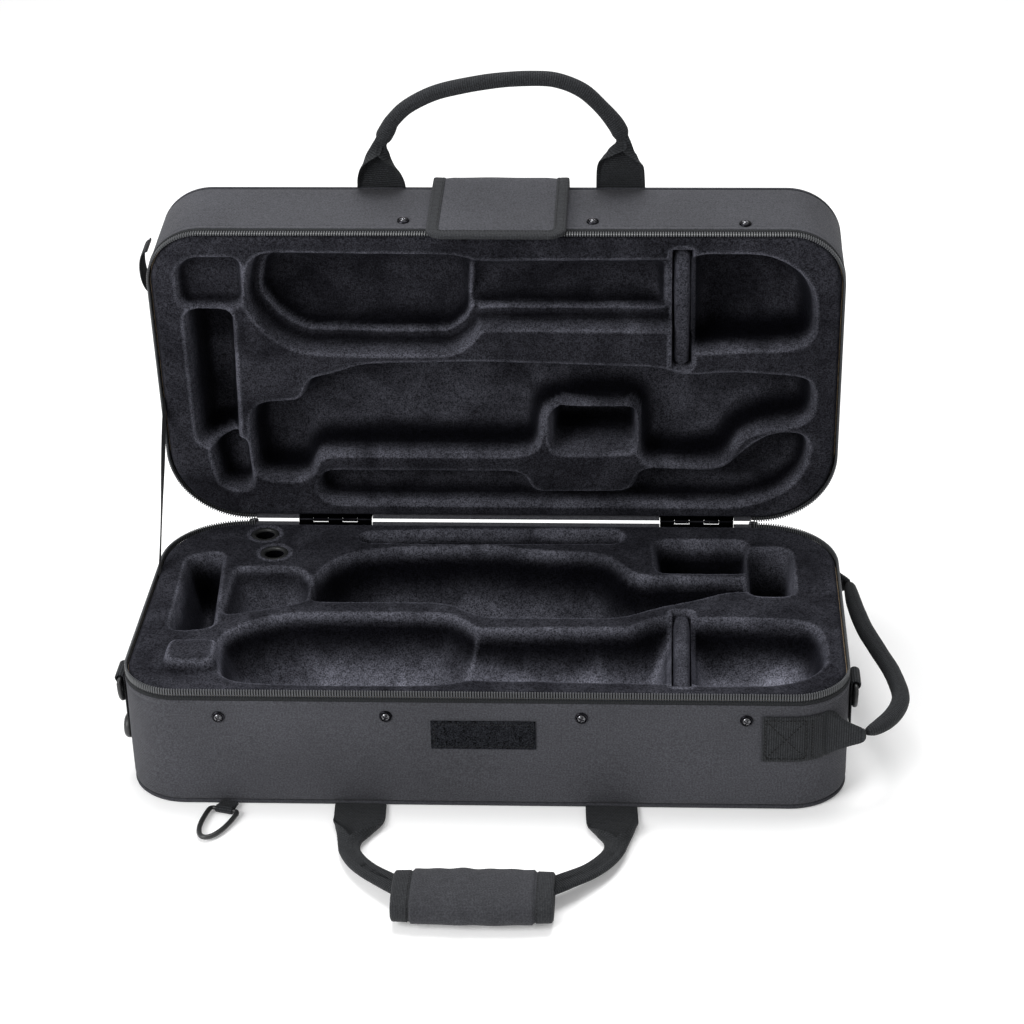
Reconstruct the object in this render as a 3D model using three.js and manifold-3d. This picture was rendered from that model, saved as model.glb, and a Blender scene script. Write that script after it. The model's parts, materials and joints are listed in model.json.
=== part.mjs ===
// An open instrument case: a board tray and a board lid, each covered in nylon outside and filled with a
// moulded plush insert, joined by two hinges at the back. Millimetres, +Z up, +X to the right, +Y to the
// hinges. The origin is the middle of the base's underside, where the case stands on a table.
//
// Both halves are built as trays in the same frame: X across, Y from front to back about the middle, Z from
// the outer panel to the rim. The base has its front at -Y. The lid has it at +Y and is turned over onto
// its hinges. A place inside a half is given as x and as s, its distance from the hinge side.
import * as THREE from "three";
import { mergeVertices } from "three/addons/utils/BufferGeometryUtils.js";
import Module from "manifold-3d";

const wasm = await Module();
wasm.setup();

// Case
const caseWidth = 560;
const caseDepth = 272;
const baseHeight = 102;
const lidHeight = 82;
const rimGap = 4;
const openDegrees = 84.5;
const frontCornerRadius = 46;
const rearCornerRadius = 66;
const cornerSteps = 5;
const clearance = 0.3;
const overrun = 1;

// Wall, from the outside in
const coverThickness = 1.7;
const boardThickness = 5;
const panelThickness = 3.4;
const pipingRadius = 1.7;
const pipingSides = 6;

// Rim
const tapeHeight = 6;
const teethHeight = 5.5;
const teethWidth = 1.9;
const teethRise = 1.8;
const grooveWidth = 1.1;
const flangeThickness = 4.7;
const zipEndShare = 0.375;

// Insert
const insertFloorGap = 0.3;
const hollowFillet = 7;
const hollowFlare = 3;
const hollowCorner = 10;
const hollowCornerSteps = 2;

// Mouthpiece holes
const mouthHoleRadius = 9;
const mouthHoleDepth = 60;
const mouthRingRadius = 12;
const mouthRingHeight = 3;
const mouthRingWall = 4;
const mouthRingSteps = 16;

// Divider bars
const dividerThickness = 13;
const dividerDrop = 2;

// Screws with cup washers
const screwShankRadius = 1.5;
const screwShankLength = 6.2;
const screwHeadRadius = 3.3;
const screwHeadHeight = 1.6;
const washerRadius = 5;
const washerHeight = 1.2;
const screwSlotWidth = 0.9;
const screwSteps = 10;

// Hook-and-loop closure
const patchWidth = 80;
const patchHeight = 25;
const patchThickness = 1.4;
const loopPatchHeight = 66;

// Hinges
const hingeWidth = 62;
const hingeLeafThickness = 1.2;
const hingeLeafDepth = 12;
const hingeKnuckleRadius = 1.7;
const hingePinRadius = 0.8;
const hingeKnuckles = 5;
const hingeSteps = 10;
const hingeRoom = 0.6;

// Carrying handles of webbing
const webbingWidth = 40;
const webbingThickness = 1.8;
const tubeRadius = 8;
const gripLength = 118;
const gripDepth = 55;
const gripHeight = 25;
const gripWall = 4.5;

// Strap rings
const ringBarRadius = 1.7;
const ringWire = 4;
const endRingWidth = 34;
const endRingLength = 26;
const endTabWidth = 22;
const endTabLength = 40;
const endTabThickness = 2;
const bowSquareness = 0.8;
const bottomRingWidth = 27;
const bottomRingLength = 42;
const bottomTabWidth = 14;
const bottomTabLength = 11;
const knobRadius = 10;
const knobHeight = 7;
const loopWall = 1.8;

// Flap
const flapWidth = 111;
const flapMiddle = 2.5;
const flapThickness = 3;
const flapRise = 12;
const flapRoot = 25;
const flapHang = 13;
const flapCorner = 14;
const bindingWidth = 10;
const bindingThickness = 3.8;

// Stay ribbon
const ribbonWidth = 12;
const ribbonThickness = 0.5;

// Zip sliders
const sliderLength = 8;
const sliderDepth = 3.4;
const sliderHeight = 9;
const bailRadius = 0.8;
const bailReach = 2.4;
const earWidth = 1.12;
const earReach = 1.2;
const pullEyeWall = 0.96;
const pullWidth = 3.2;
const pullLength = 12;
const pullThickness = 1.4;

const rightAngle = Math.PI / 2;
const openAngle = THREE.MathUtils.degToRad(openDegrees);
const boardInset = coverThickness + clearance;
const insertInset = boardInset + boardThickness + clearance;
const flangeInset = teethWidth + grooveWidth;
const panelInset = pipingRadius * 2 + clearance;
const boardFloor = pipingRadius * 2 + clearance;
const hingeLine = rimGap / 2;

const base = { width: caseWidth, depth: caseDepth, height: baseHeight, front: -1, name: "base" };
const lid = { width: caseWidth, depth: caseDepth, height: lidHeight, front: 1, name: "lid" };

// Materials
const cloth = (color) => new THREE.MeshStandardMaterial({ color, roughness: 0.85, metalness: 0 });
const nylon = cloth(0x47484c);
const plush = cloth(0x16161e);
const webbing = cloth(0x2a2d2d);
const board = cloth(0x7a6448);
const loopPile = cloth(0x121314);
const zipTeethMaterial = new THREE.MeshStandardMaterial({ color: 0x3c4242, roughness: 0.45, metalness: 0.1 });
const blackPlastic = new THREE.MeshStandardMaterial({ color: 0x2c2e30, roughness: 0.4, metalness: 0 });
const blackNickel = new THREE.MeshStandardMaterial({ color: 0x34353a, roughness: 0.25, metalness: 0.9 });

// Solids

// A closed geometry as a solid that can be joined and cut.
function solidOf(geometry) {
  const bare = geometry.index ? geometry.toNonIndexed() : geometry.clone();
  bare.deleteAttribute("normal");
  bare.deleteAttribute("uv");
  const merged = mergeVertices(bare, 1e-4);
  return new wasm.Manifold(
    new wasm.Mesh({
      numProp: 3,
      vertProperties: new Float32Array(merged.attributes.position.array),
      triVerts: new Uint32Array(merged.index.array),
    }),
  );
}

// A solid as a geometry with one normal a face.
function geometryOf(solid) {
  const mesh = solid.getMesh();
  const geometry = new THREE.BufferGeometry();
  geometry.setAttribute("position", new THREE.BufferAttribute(new Float32Array(mesh.vertProperties), 3));
  geometry.setIndex(new THREE.BufferAttribute(new Uint32Array(mesh.triVerts), 1));
  const faceted = geometry.toNonIndexed();
  faceted.computeVertexNormals();
  return faceted;
}

const cut = (geometry, tools) => geometryOf(tools.reduce((s, t) => s.subtract(solidOf(t)), solidOf(geometry)));
const join = (parts) => geometryOf(parts.slice(1).reduce((s, t) => s.add(solidOf(t)), solidOf(parts[0])));
const overlap = (a, b) => geometryOf(solidOf(a).intersect(solidOf(b)));

// An outline in X and Y carried up from one height to another.
function upright(shape, from, to) {
  return new THREE.ExtrudeGeometry(shape, { depth: to - from, bevelEnabled: false }).translate(0, 0, from);
}

// An outline in Y and Z carried along X.
function acrossX(shape, from, to) {
  const turn = new THREE.Matrix4().makeBasis(
    new THREE.Vector3(0, 1, 0),
    new THREE.Vector3(0, 0, 1),
    new THREE.Vector3(1, 0, 0),
  );
  return upright(shape, from, to).applyMatrix4(turn);
}

function box(low, high) {
  const size = high.map((v, i) => v - low[i]);
  const middle = high.map((v, i) => (v + low[i]) / 2);
  return new THREE.BoxGeometry(...size).translate(...middle);
}

const flatPoints = (points) => points.map(([x, y]) => new THREE.Vector2(x, y));
const shapeOf = (points) => new THREE.Shape(flatPoints(points));

// An outline with a hole in it. Both run the same way round, as the extrusion needs.
function shapeWithHole(outer, inner) {
  const turned = (points) => (THREE.ShapeUtils.isClockWise(points) ? [...points].reverse() : points);
  const shape = new THREE.Shape(turned(outer));
  shape.holes.push(new THREE.Path(turned(inner)));
  return shape;
}

function circle(x, y, radius, steps) {
  const points = [];
  for (let i = 0; i < steps; i++) {
    const angle = (i / steps) * Math.PI * 2;
    points.push(new THREE.Vector2(x + radius * Math.cos(angle), y + radius * Math.sin(angle)));
  }
  return points;
}

// A round solid along X, Y or Z with its middle at a place.
function rod(radius, length, steps, axis, middle) {
  const geometry = new THREE.CylinderGeometry(radius, radius, length, steps);
  if (axis === "x") geometry.rotateZ(rightAngle);
  if (axis === "z") geometry.rotateX(rightAngle);
  return geometry.translate(...middle);
}

// Points and triangles as a geometry, with its faces turned out.
function bodyOf(points, faces) {
  const volume = faces.reduce((v, [a, b, c]) => v + points[a].dot(points[b].clone().cross(points[c])), 0);
  const turned = volume < 0 ? faces.map(([a, b, c]) => [a, c, b]) : faces;
  const geometry = new THREE.BufferGeometry().setFromPoints(points);
  geometry.setIndex(turned.flat());
  const faceted = geometry.toNonIndexed();
  faceted.computeVertexNormals();
  return faceted;
}

// The triangles between rings of points, each with its number of points.
function ringFaces(ringCount, count, closed) {
  const faces = [];
  const total = ringCount * count;
  for (let r = 0; r < (closed ? ringCount : ringCount - 1); r++) {
    for (let i = 0; i < count; i++) {
      const a = r * count + i;
      const b = r * count + ((i + 1) % count);
      const c = (a + count) % total;
      const d = (b + count) % total;
      faces.push([a, b, d], [a, d, c]);
    }
  }
  return faces;
}

// A closed body through rings of points, capped at both ends.
function loft(rings) {
  const count = rings[0].length;
  const faces = ringFaces(rings.length, count, false);
  const last = (rings.length - 1) * count;
  for (let i = 1; i + 1 < count; i++) {
    faces.push([0, i + 1, i], [last, last + i, last + i + 1]);
  }
  return bodyOf(rings.flat(), faces);
}

// A closed body through level rings, whose caps needn't be convex.
function levelLoft(levels) {
  const rings = THREE.ShapeUtils.isClockWise(levels[0]) ? levels.map((ring) => [...ring].reverse()) : levels;
  const count = rings[0].length;
  const faces = ringFaces(rings.length, count, false);
  const last = (rings.length - 1) * count;
  const cap = (ring) => THREE.ShapeUtils.triangulateShape(ring.map((p) => new THREE.Vector2(p.x, p.y)), []);
  cap(rings[0]).forEach(([a, b, c]) => faces.push([a, c, b]));
  cap(rings[rings.length - 1]).forEach((face) => faces.push(face.map((i) => i + last)));
  return bodyOf(rings.flat(), faces);
}

// One ring of a strap or tube: flat with a squareness near 0.3, round with 1.
const sectionSides = 8;
function section(at, along, across, halfWidth, halfThickness, squareness) {
  const side = across.clone().projectOnPlane(along).normalize();
  const up = new THREE.Vector3().crossVectors(side, along).normalize();
  const ring = [];
  for (let i = 0; i < sectionSides; i++) {
    const angle = ((i + 0.5) / sectionSides) * Math.PI * 2;
    const u = Math.sign(Math.cos(angle)) * Math.abs(Math.cos(angle)) ** squareness;
    const v = Math.sign(Math.sin(angle)) * Math.abs(Math.sin(angle)) ** squareness;
    ring.push(at.clone().addScaledVector(side, halfWidth * u).addScaledVector(up, halfThickness * v));
  }
  return ring;
}

// A strap that changes its section on its way. Each stop is a place, half a width, half a thickness and a
// squareness, and acrossOf gives the direction of the width where the strap runs along a direction.
function strap(stops, acrossOf, firstAlong, lastAlong) {
  const places = stops.map(([x, y, z]) => new THREE.Vector3(x, y, z));
  const rings = stops.map(([, , , width, thickness, squareness], i) => {
    const before = places[Math.max(i - 1, 0)];
    const after = places[Math.min(i + 1, places.length - 1)];
    const set = [firstAlong, lastAlong][[0, places.length - 1].indexOf(i)];
    const way = after.clone().sub(before).normalize();
    const along = set ? set.clone().multiplyScalar(Math.sign(set.dot(way))) : way;
    return section(places[i], along, acrossOf(along), width, thickness, squareness);
  });
  return loft(rings);
}

// The outline of a half, a distance in from its walls.
function casePoints(half, inset) {
  const x = half.width / 2 - inset;
  const t = half.depth / 2 - inset;
  const front = frontCornerRadius - inset;
  const rear = rearCornerRadius - inset;
  const corners = [
    [-1, 1, front, Math.PI],
    [1, 1, front, rightAngle],
    [1, -1, rear, 0],
    [-1, -1, rear, -rightAngle],
  ];
  const points = [];
  for (const [xSide, tSide, radius, start] of corners) {
    for (let i = 0; i <= cornerSteps; i++) {
      const angle = start - (i / cornerSteps) * rightAngle;
      const px = xSide * (x - radius) + radius * Math.cos(angle);
      const pt = tSide * (t - radius) + radius * Math.sin(angle);
      points.push([px, half.front * pt]);
    }
  }
  return flatPoints(points);
}

const slab = (half, inset, from, to) => upright(new THREE.Shape(casePoints(half, inset)), from, to);

function band(half, outerInset, innerInset, from, to) {
  return upright(shapeWithHole(casePoints(half, outerInset), casePoints(half, innerInset)), from, to);
}

// A box of a half, in x, in s and in height.
function halfBox(half, xFrom, xTo, sFrom, sTo, from, to) {
  const y = [sFrom, sTo].map((s) => half.front * (s - half.depth / 2));
  return box([xFrom, Math.min(...y), from], [xTo, Math.max(...y), to]);
}

// The stretch at the back where the zip doesn't run.
function rearStretch(half, from, to) {
  const reach = half.width * zipEndShare;
  return halfBox(half, -reach, reach, -overrun, coverThickness * 2 + grooveWidth, from, to);
}

// Places of the two hinges, as shares of the case's width.
const hingeShares = { left: -0.2536, right: 0.2929 };

function hingeZones(half, sFrom, sTo, from, to) {
  return Object.values(hingeShares).map((share) => {
    const middle = share * half.width;
    const reach = hingeWidth / 2 + clearance;
    return halfBox(half, middle - reach, middle + reach, sFrom, sTo, from, to);
  });
}

// Screws in the front wall. The inner ones stand at a share of the width, and the outer ones keep a distance
// from the case's end. Each is at a share of the half's height.
const screwSpots = {
  base: [
    { side: -1, fromEnd: 77.8, heightShare: 0.784 },
    { share: -0.132, heightShare: 0.804 },
    { share: 0.134, heightShare: 0.804 },
    { side: 1, fromEnd: 80, heightShare: 0.794 },
  ],
  lid: [
    { share: -0.13, heightShare: 0.744 },
    { share: 0.14, heightShare: 0.756 },
    { side: 1, fromEnd: 80.6, heightShare: 0.793 },
  ],
};

const screwPlaces = (half) =>
  screwSpots[half.name].map(({ share, side, fromEnd, heightShare }) => [
    side ? side * (half.width / 2 - fromEnd) : share * half.width,
    heightShare * half.height,
  ]);

function screwHoles(half) {
  const length = boardInset + boardThickness + overrun * 2;
  return screwPlaces(half).map(([x, z]) => {
    const y = half.front * (half.depth / 2 - length / 2 + overrun);
    return rod(screwShankRadius + clearance, length, screwSteps, "y", [x, y, z]);
  });
}

const screwDomeShare = 0.7;
const screwEdgeShare = 0.75;
const screwSlotDepthShare = 0.7;
function screw(half, [x, z]) {
  const head = clearance + washerHeight;
  const profile = [
    [0, -screwShankLength],
    [screwShankRadius, -screwShankLength],
    [screwShankRadius, clearance],
    [washerRadius, clearance],
    [washerRadius - washerHeight / 2, head],
    [screwHeadRadius, head],
    [screwHeadRadius * screwEdgeShare, head + screwHeadHeight * screwDomeShare],
    [0, head + screwHeadHeight],
  ];
  const turned = new THREE.LatheGeometry(profile.map(([r, h]) => new THREE.Vector2(r, h)), screwSteps);
  const reach = screwHeadRadius * screwDomeShare;
  const deep = head + screwHeadHeight * (1 - screwSlotDepthShare);
  const high = head + screwHeadHeight + overrun;
  const slot = (a, b) => box([-a, deep, -b], [a, high, b]);
  const slots = [slot(reach, screwSlotWidth / 2), slot(screwSlotWidth / 2, reach)];
  const made = cut(turned, slots);
  if (half.front < 0) made.rotateX(Math.PI);
  return made.translate(x, (half.front * half.depth) / 2, z);
}

// Hollows of the inserts

// A closed outline moved in by a distance.
function movedIn(points, distance) {
  const turn = THREE.ShapeUtils.isClockWise(points) ? -1 : 1;
  return points.map((here, i) => {
    const before = points[(i + points.length - 1) % points.length];
    const after = points[(i + 1) % points.length];
    const first = here.clone().sub(before).normalize();
    const second = after.clone().sub(here).normalize();
    const normal = (d) => new THREE.Vector2(-d.y, d.x).multiplyScalar(turn);
    const sum = normal(first).add(normal(second));
    return here.clone().addScaledVector(sum, distance / (1 + first.dot(second)));
  });
}

// A closed outline with each corner rounded off.
const cornerShare = 0.45;
function softened(points, radius) {
  return points.flatMap((here, i) => {
    const before = points[(i + points.length - 1) % points.length];
    const after = points[(i + 1) % points.length];
    const start = here.clone().lerp(before, Math.min(radius / here.distanceTo(before), cornerShare));
    const end = here.clone().lerp(after, Math.min(radius / here.distanceTo(after), cornerShare));
    const rounded = [];
    for (let k = 0; k <= hollowCornerSteps; k++) {
      const t = k / hollowCornerSteps;
      rounded.push(start.clone().lerp(here, t).lerp(here.clone().lerp(end, t), t));
    }
    return rounded;
  });
}

// A hollow sunk into an insert from its rim: outline in shares of the width and of the depth, and how deep
// it goes as a share of the half's height. It flares at the rim, and a fillet joins its floor to its walls.
const filletStepShare = 0.3;
function hollow(half, { outlineShares, depthShare, filletShare = 1 }) {
  const points = flatPoints(
    outlineShares.map(([x, s]) => [x * half.width, half.front * (s - 0.5) * half.depth]),
  );
  const fillet = hollowFillet * filletShare;
  const floor = half.height * (1 - depthShare);
  const levels = [
    [floor, fillet],
    [floor + fillet * filletStepShare, fillet * filletStepShare],
    [floor + fillet, 0],
    [half.height - hollowFlare, 0],
    [half.height + overrun, -hollowFlare - overrun],
  ];
  const ring = ([z, inset]) =>
    softened(movedIn(points, inset), hollowCorner).map((p) => new THREE.Vector3(p.x, p.y, z));
  return levelLoft(levels.map(ring));
}

const baseHollows = {
  bodyBulb: {
    depthShare: 0.66,
    outlineShares: [
      [-0.386, 0.665], [-0.355, 0.59], [-0.3, 0.545], [-0.07, 0.538], [-0.02, 0.62],
      [-0.01, 0.88], [-0.05, 0.93], [-0.3, 0.935], [-0.345, 0.925], [-0.375, 0.86],
    ],
  },
  bodyNeck: {
    depthShare: 0.54,
    outlineShares: [[-0.06, 0.62], [0.19, 0.615], [0.228, 0.56], [0.262, 0.56], [0.262, 0.925], [-0.06, 0.905]],
  },
  endPlace: {
    depthShare: 0.5,
    outlineShares: [
      [0.277, 0.6], [0.44, 0.59], [0.462, 0.63], [0.466, 0.8], [0.445, 0.88], [0.4, 0.93], [0.277, 0.93],
    ],
  },
  longPlace: {
    depthShare: 0.6,
    outlineShares: [
      [-0.372, 0.57], [-0.31, 0.495], [-0.27, 0.475], [-0.06, 0.475], [-0.015, 0.565],
      [0.185, 0.56], [0.235, 0.49], [0.29, 0.46], [0.33, 0.4], [0.42, 0.36], [0.42, 0.14],
      [0.23, 0.13], [0.2, 0.17], [-0.17, 0.13], [-0.235, 0.16], [-0.262, 0.22], [-0.27, 0.3],
      [-0.33, 0.29], [-0.372, 0.33],
    ],
  },
  rearGroove: {
    depthShare: 0.36,
    filletShare: 0.4,
    outlineShares: [[-0.27, 0.045], [0.18, 0.045], [0.18, 0.1], [-0.17, 0.09], [-0.25, 0.115], [-0.285, 0.1]],
  },
  deepPocket: {
    depthShare: 0.82,
    filletShare: 0.6,
    outlineShares: [[0.373, 0.14], [0.428, 0.14], [0.428, 0.39], [0.373, 0.39]],
  },
  rearPocket: {
    depthShare: 0.68,
    filletShare: 0.6,
    outlineShares: [[0.236, 0.07], [0.36, 0.07], [0.36, 0.24], [0.236, 0.24]],
  },
  sideTrough: {
    depthShare: 0.6,
    filletShare: 0.8,
    outlineShares: [[-0.466, 0.23], [-0.405, 0.2], [-0.395, 0.64], [-0.466, 0.64]],
  },
  frontShelf: {
    depthShare: 0.17,
    filletShare: 0.4,
    outlineShares: [[-0.468, 0.67], [-0.392, 0.67], [-0.386, 0.87], [-0.43, 0.9], [-0.463, 0.84]],
  },
};

const lidHollows = {
  bodyBulb: {
    depthShare: 0.66,
    outlineShares: [
      [-0.362, 0.76], [-0.325, 0.65], [-0.282, 0.597], [-0.07, 0.592], [-0.02, 0.675],
      [-0.012, 0.885], [-0.05, 0.93], [-0.35, 0.93],
    ],
  },
  bodyNeck: {
    depthShare: 0.56,
    outlineShares: [[-0.06, 0.675], [0.26, 0.685], [0.26, 0.905], [-0.06, 0.9]],
  },
  endPlace: {
    depthShare: 0.6,
    outlineShares: [
      [0.276, 0.585], [0.33, 0.588], [0.35, 0.612], [0.42, 0.615], [0.455, 0.66], [0.455, 0.8],
      [0.43, 0.88], [0.4, 0.928], [0.276, 0.928],
    ],
  },
  topShelf: {
    depthShare: 0.2,
    filletShare: 0.4,
    outlineShares: [[-0.447, 0.755], [-0.375, 0.755], [-0.375, 0.9], [-0.43, 0.9], [-0.447, 0.87]],
  },
  sideTrough: {
    depthShare: 0.64,
    filletShare: 0.6,
    outlineShares: [[-0.45, 0.27], [-0.386, 0.27], [-0.386, 0.73], [-0.45, 0.73]],
  },
  sidePocket: {
    depthShare: 0.4,
    filletShare: 0.6,
    outlineShares: [[-0.446, 0.15], [-0.42, 0.1], [-0.378, 0.1], [-0.378, 0.3], [-0.446, 0.3]],
  },
  longPlace: {
    depthShare: 0.56,
    outlineShares: [
      [-0.366, 0.14], [-0.284, 0.14], [-0.272, 0.215], [0.067, 0.232], [0.067, 0.4], [0.21, 0.4],
      [0.21, 0.2], [0.32, 0.2], [0.36, 0.31], [0.457, 0.342], [0.457, 0.49], [0.3, 0.52],
      [0.18, 0.545], [-0.02, 0.535], [-0.2, 0.53], [-0.24, 0.5], [-0.28, 0.415], [-0.366, 0.415],
    ],
  },
  squarePocket: {
    depthShare: 0.76,
    filletShare: 0.6,
    outlineShares: [[0.078, 0.205], [0.2, 0.205], [0.2, 0.43], [0.078, 0.43]],
  },
  tubeChannel: {
    depthShare: 0.34,
    filletShare: 0.6,
    outlineShares: [
      [-0.268, 0.085], [0.42, 0.085], [0.452, 0.15], [0.456, 0.315], [0.4, 0.315], [0.362, 0.27],
      [0.33, 0.18], [0.05, 0.18], [-0.268, 0.19],
    ],
  },
};

// Mouthpiece holes, as shares of the width and of the depth.
const mouthShares = { rear: [-0.3554, 0.081], front: [-0.334, 0.199] };
const mouthPlace = ([x, s]) => [x * base.width, base.front * (s - 0.5) * base.depth];

// The insert: a block that fills the tray, with a flange over the board's edge.
function insertBlock(half) {
  const floor = boardFloor + boardThickness + insertFloorGap;
  const flangeFrom = half.height - flangeThickness;
  const block = join([
    slab(half, insertInset, floor, half.height),
    slab(half, flangeInset, flangeFrom, half.height),
  ]);
  const room = hingeLeafThickness + hingeRoom - clearance;
  const depth = flangeInset + hingeLeafDepth + clearance;
  return cut(block, hingeZones(half, 0, depth, flangeFrom - overrun, flangeFrom + room));
}

// Where the divider bar stands in each half: x and its two ends in shares, and its own thickness.
const dividerShares = {
  base: { x: 0.2696, from: 0.54, to: 0.94, sinkShare: 0.6 },
  lid: { x: 0.2679, from: 0.555, to: 0.94, sinkShare: 0.66 },
};

function dividerBody(half, grow) {
  const { x, from, to, sinkShare } = dividerShares[half.name];
  const reach = dividerThickness / 2 + grow;
  const side = [from * half.depth - grow, to * half.depth + grow];
  const floor = half.height * (1 - sinkShare) - grow;
  const middle = x * half.width;
  const top = half.height - dividerDrop + (grow ? dividerDrop + overrun : 0);
  const shoulder = dividerThickness / 4;
  const body = halfBox(half, middle - reach, middle + reach, ...side, floor, top - shoulder);
  if (grow) return halfBox(half, middle - reach, middle + reach, ...side, floor, top);
  const crest = halfBox(half, middle - reach / 2, middle + reach / 2, ...side, floor, top);
  return join([body, crest]);
}

function makeInsert(half, hollows) {
  const sunk = Object.values(hollows).map((h) => hollow(half, h));
  const room = dividerBody(half, clearance);
  const made = cut(insertBlock(half), [...sunk, room]);
  if (half !== base) return made;
  const holes = Object.values(mouthShares).map(mouthPlace).flatMap(([x, y]) => {
    const length = mouthHoleDepth + overrun;
    const seat = mouthRingHeight + overrun;
    return [
      rod(mouthHoleRadius, length, mouthRingSteps, "z", [x, y, half.height + overrun - length / 2]),
      rod(mouthRingRadius + clearance, seat, mouthRingSteps, "z", [x, y, half.height + overrun - seat / 2]),
    ];
  });
  return cut(made, holes);
}

const mouthRingShoulder = 0.7;
const mouthRingLip = 0.8;
function mouthRing([x, y]) {
  const outer = mouthRingRadius;
  const inner = mouthRingRadius - mouthRingWall;
  const low = clearance;
  const high = mouthRingHeight - clearance;
  const profile = [
    [inner, low],
    [outer, low],
    [outer, high * mouthRingShoulder],
    [outer - mouthRingWall / 2, high],
    [inner, high * mouthRingLip],
  ];
  const points = [...profile, profile[0]].map(([r, h]) => new THREE.Vector2(r, h));
  const ring = new THREE.LatheGeometry(points, mouthRingSteps).rotateX(rightAngle);
  return ring.translate(x, y, base.height - mouthRingHeight);
}

// The board tray, with a slot of its own for nothing but the screws.
function shell(half) {
  const top = half.height - flangeThickness - clearance;
  const tray = cut(slab(half, boardInset, boardFloor, top), [
    slab(half, boardInset + boardThickness, boardFloor + boardThickness, top + overrun),
  ]);
  return cut(tray, screwHoles(half));
}

function sideCover(half) {
  const foot = panelInset;
  const edge = half.height - tapeHeight - teethHeight + teethRise;
  const wall = band(half, 0, coverThickness, foot, edge);
  const rise = half.height - clearance * 2;
  const rearWall = overlap(band(half, 0, coverThickness, edge - overrun, rise), rearStretch(half, edge - overrun, rise));
  const notch = hingeZones(half, -overrun, flangeInset, half.height - flangeThickness - clearance * 2, half.height);
  return cut(join([wall, rearWall]), [...notch, ...screwHoles(half)]);
}

function zipBand(half, outerInset, innerInset, from, to) {
  const whole = band(half, outerInset, innerInset, from, to);
  const room = rearStretch(half, from - overrun, to + overrun);
  room.scale(1 + clearance / (half.width * zipEndShare), 1, 1);
  return cut(whole, [room]);
}

function zipTape(half) {
  const top = half.height + teethRise - teethHeight - clearance;
  return zipBand(half, clearance / 2, coverThickness, top - tapeHeight + clearance * 2, top);
}

function zipTeeth(half) {
  const top = half.height + teethRise;
  return zipBand(half, 0, teethWidth, top - teethHeight, top);
}

function piping(half) {
  const path = casePoints(half, pipingRadius);
  const rings = path.map((here, i) => {
    const before = path[(i + path.length - 1) % path.length];
    const after = path[(i + 1) % path.length];
    const along = after.clone().sub(before).normalize();
    const ring = [];
    for (let k = 0; k < pipingSides; k++) {
      const angle = ((k + 0.5) / pipingSides) * Math.PI * 2;
      const out = pipingRadius * Math.cos(angle);
      const up = pipingRadius * (1 + Math.sin(angle));
      ring.push(new THREE.Vector3(here.x + along.y * out, here.y - along.x * out, up));
    }
    return ring;
  });
  return bodyOf(rings.flat(), ringFaces(rings.length, pipingSides, true));
}

// Hinges: each leaf lies on its board's edge under the insert's flange, rises through the cover and carries
// every second knuckle.
function hingeLeaf(half, share, first) {
  const middle = share * half.width;
  const low = half.height - flangeThickness;
  const line = half.height + hingeLine;
  const from = middle - hingeWidth / 2;
  const pitch = hingeWidth / hingeKnuckles;
  const riserTo = hingeKnuckleRadius;
  const riserFrom = riserTo - hingeLeafThickness;
  const wallY = (-half.front * half.depth) / 2;
  const parts = [
    halfBox(half, from, from + hingeWidth, riserFrom, flangeInset + hingeLeafDepth, low, low + hingeLeafThickness),
    halfBox(half, from, from + hingeWidth, riserFrom, riserTo, low, half.height),
  ];
  for (let i = first; i < hingeKnuckles; i += 2) {
    const start = from + i * pitch + clearance / 2;
    const end = start + pitch - clearance;
    parts.push(halfBox(half, start, end, riserFrom, riserTo, low, line));
    parts.push(rod(hingeKnuckleRadius, end - start, hingeSteps, "x", [(start + end) / 2, wallY, line]));
  }
  const bore = rod(hingePinRadius + clearance, hingeWidth + overrun * 2, hingeSteps, "x", [middle, wallY, line]);
  return cut(join(parts), [bore]);
}

const hingePin = (share) =>
  rod(hingePinRadius, hingeWidth, hingeSteps, "x", [share * base.width, base.depth / 2, base.height + hingeLine]);

// A face cloth or patch on the front wall.
function frontPatch(half, x, z, width, height, thickness) {
  const near = (half.front * half.depth) / 2 + half.front * clearance;
  const far = near + half.front * thickness;
  return box(
    [x - width / 2, Math.min(near, far), z - height / 2],
    [x + width / 2, Math.max(near, far), z + height / 2],
  );
}

// Carrying handles. Each stop is x, how far the strap stands out from the seam, and how high it lies, with
// half a width, half a thickness and a squareness, in shares of the sizes that they follow.
const flat = [0.5, 0.5, 0.3];
const thinEnd = [0.5, 0.15, 0.3];
const lidHandleShares = [
  [-0.1741, 0, 0, ...thinEnd], [-0.1741, 0.033, 0, ...flat], [-0.1755, 0.2, 0, ...flat], [-0.172, 0.36, 0, 0.36, 1.2, 0.5],
  [-0.163, 0.48, 0, 0.24, 2.6, 0.8],
];
const lidArchShares = [
  [-0.15, 0.63], [-0.118, 0.79], [-0.077, 0.885], [-0.02, 0.975], [0.036, 1], [0.088, 0.935],
  [0.126, 0.81], [0.157, 0.66],
];
const lidHandleEndShares = [
  [0.175, 0.515, 0, 0.24, 2.6, 0.8], [0.184, 0.39, 0, 0.36, 1.2, 0.5], [0.1804, 0.2, 0, ...flat],
  [0.1777, 0.033, 0, ...flat], [0.1777, 0, 0, ...thinEnd],
];
const lidHandleReach = 92;

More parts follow.
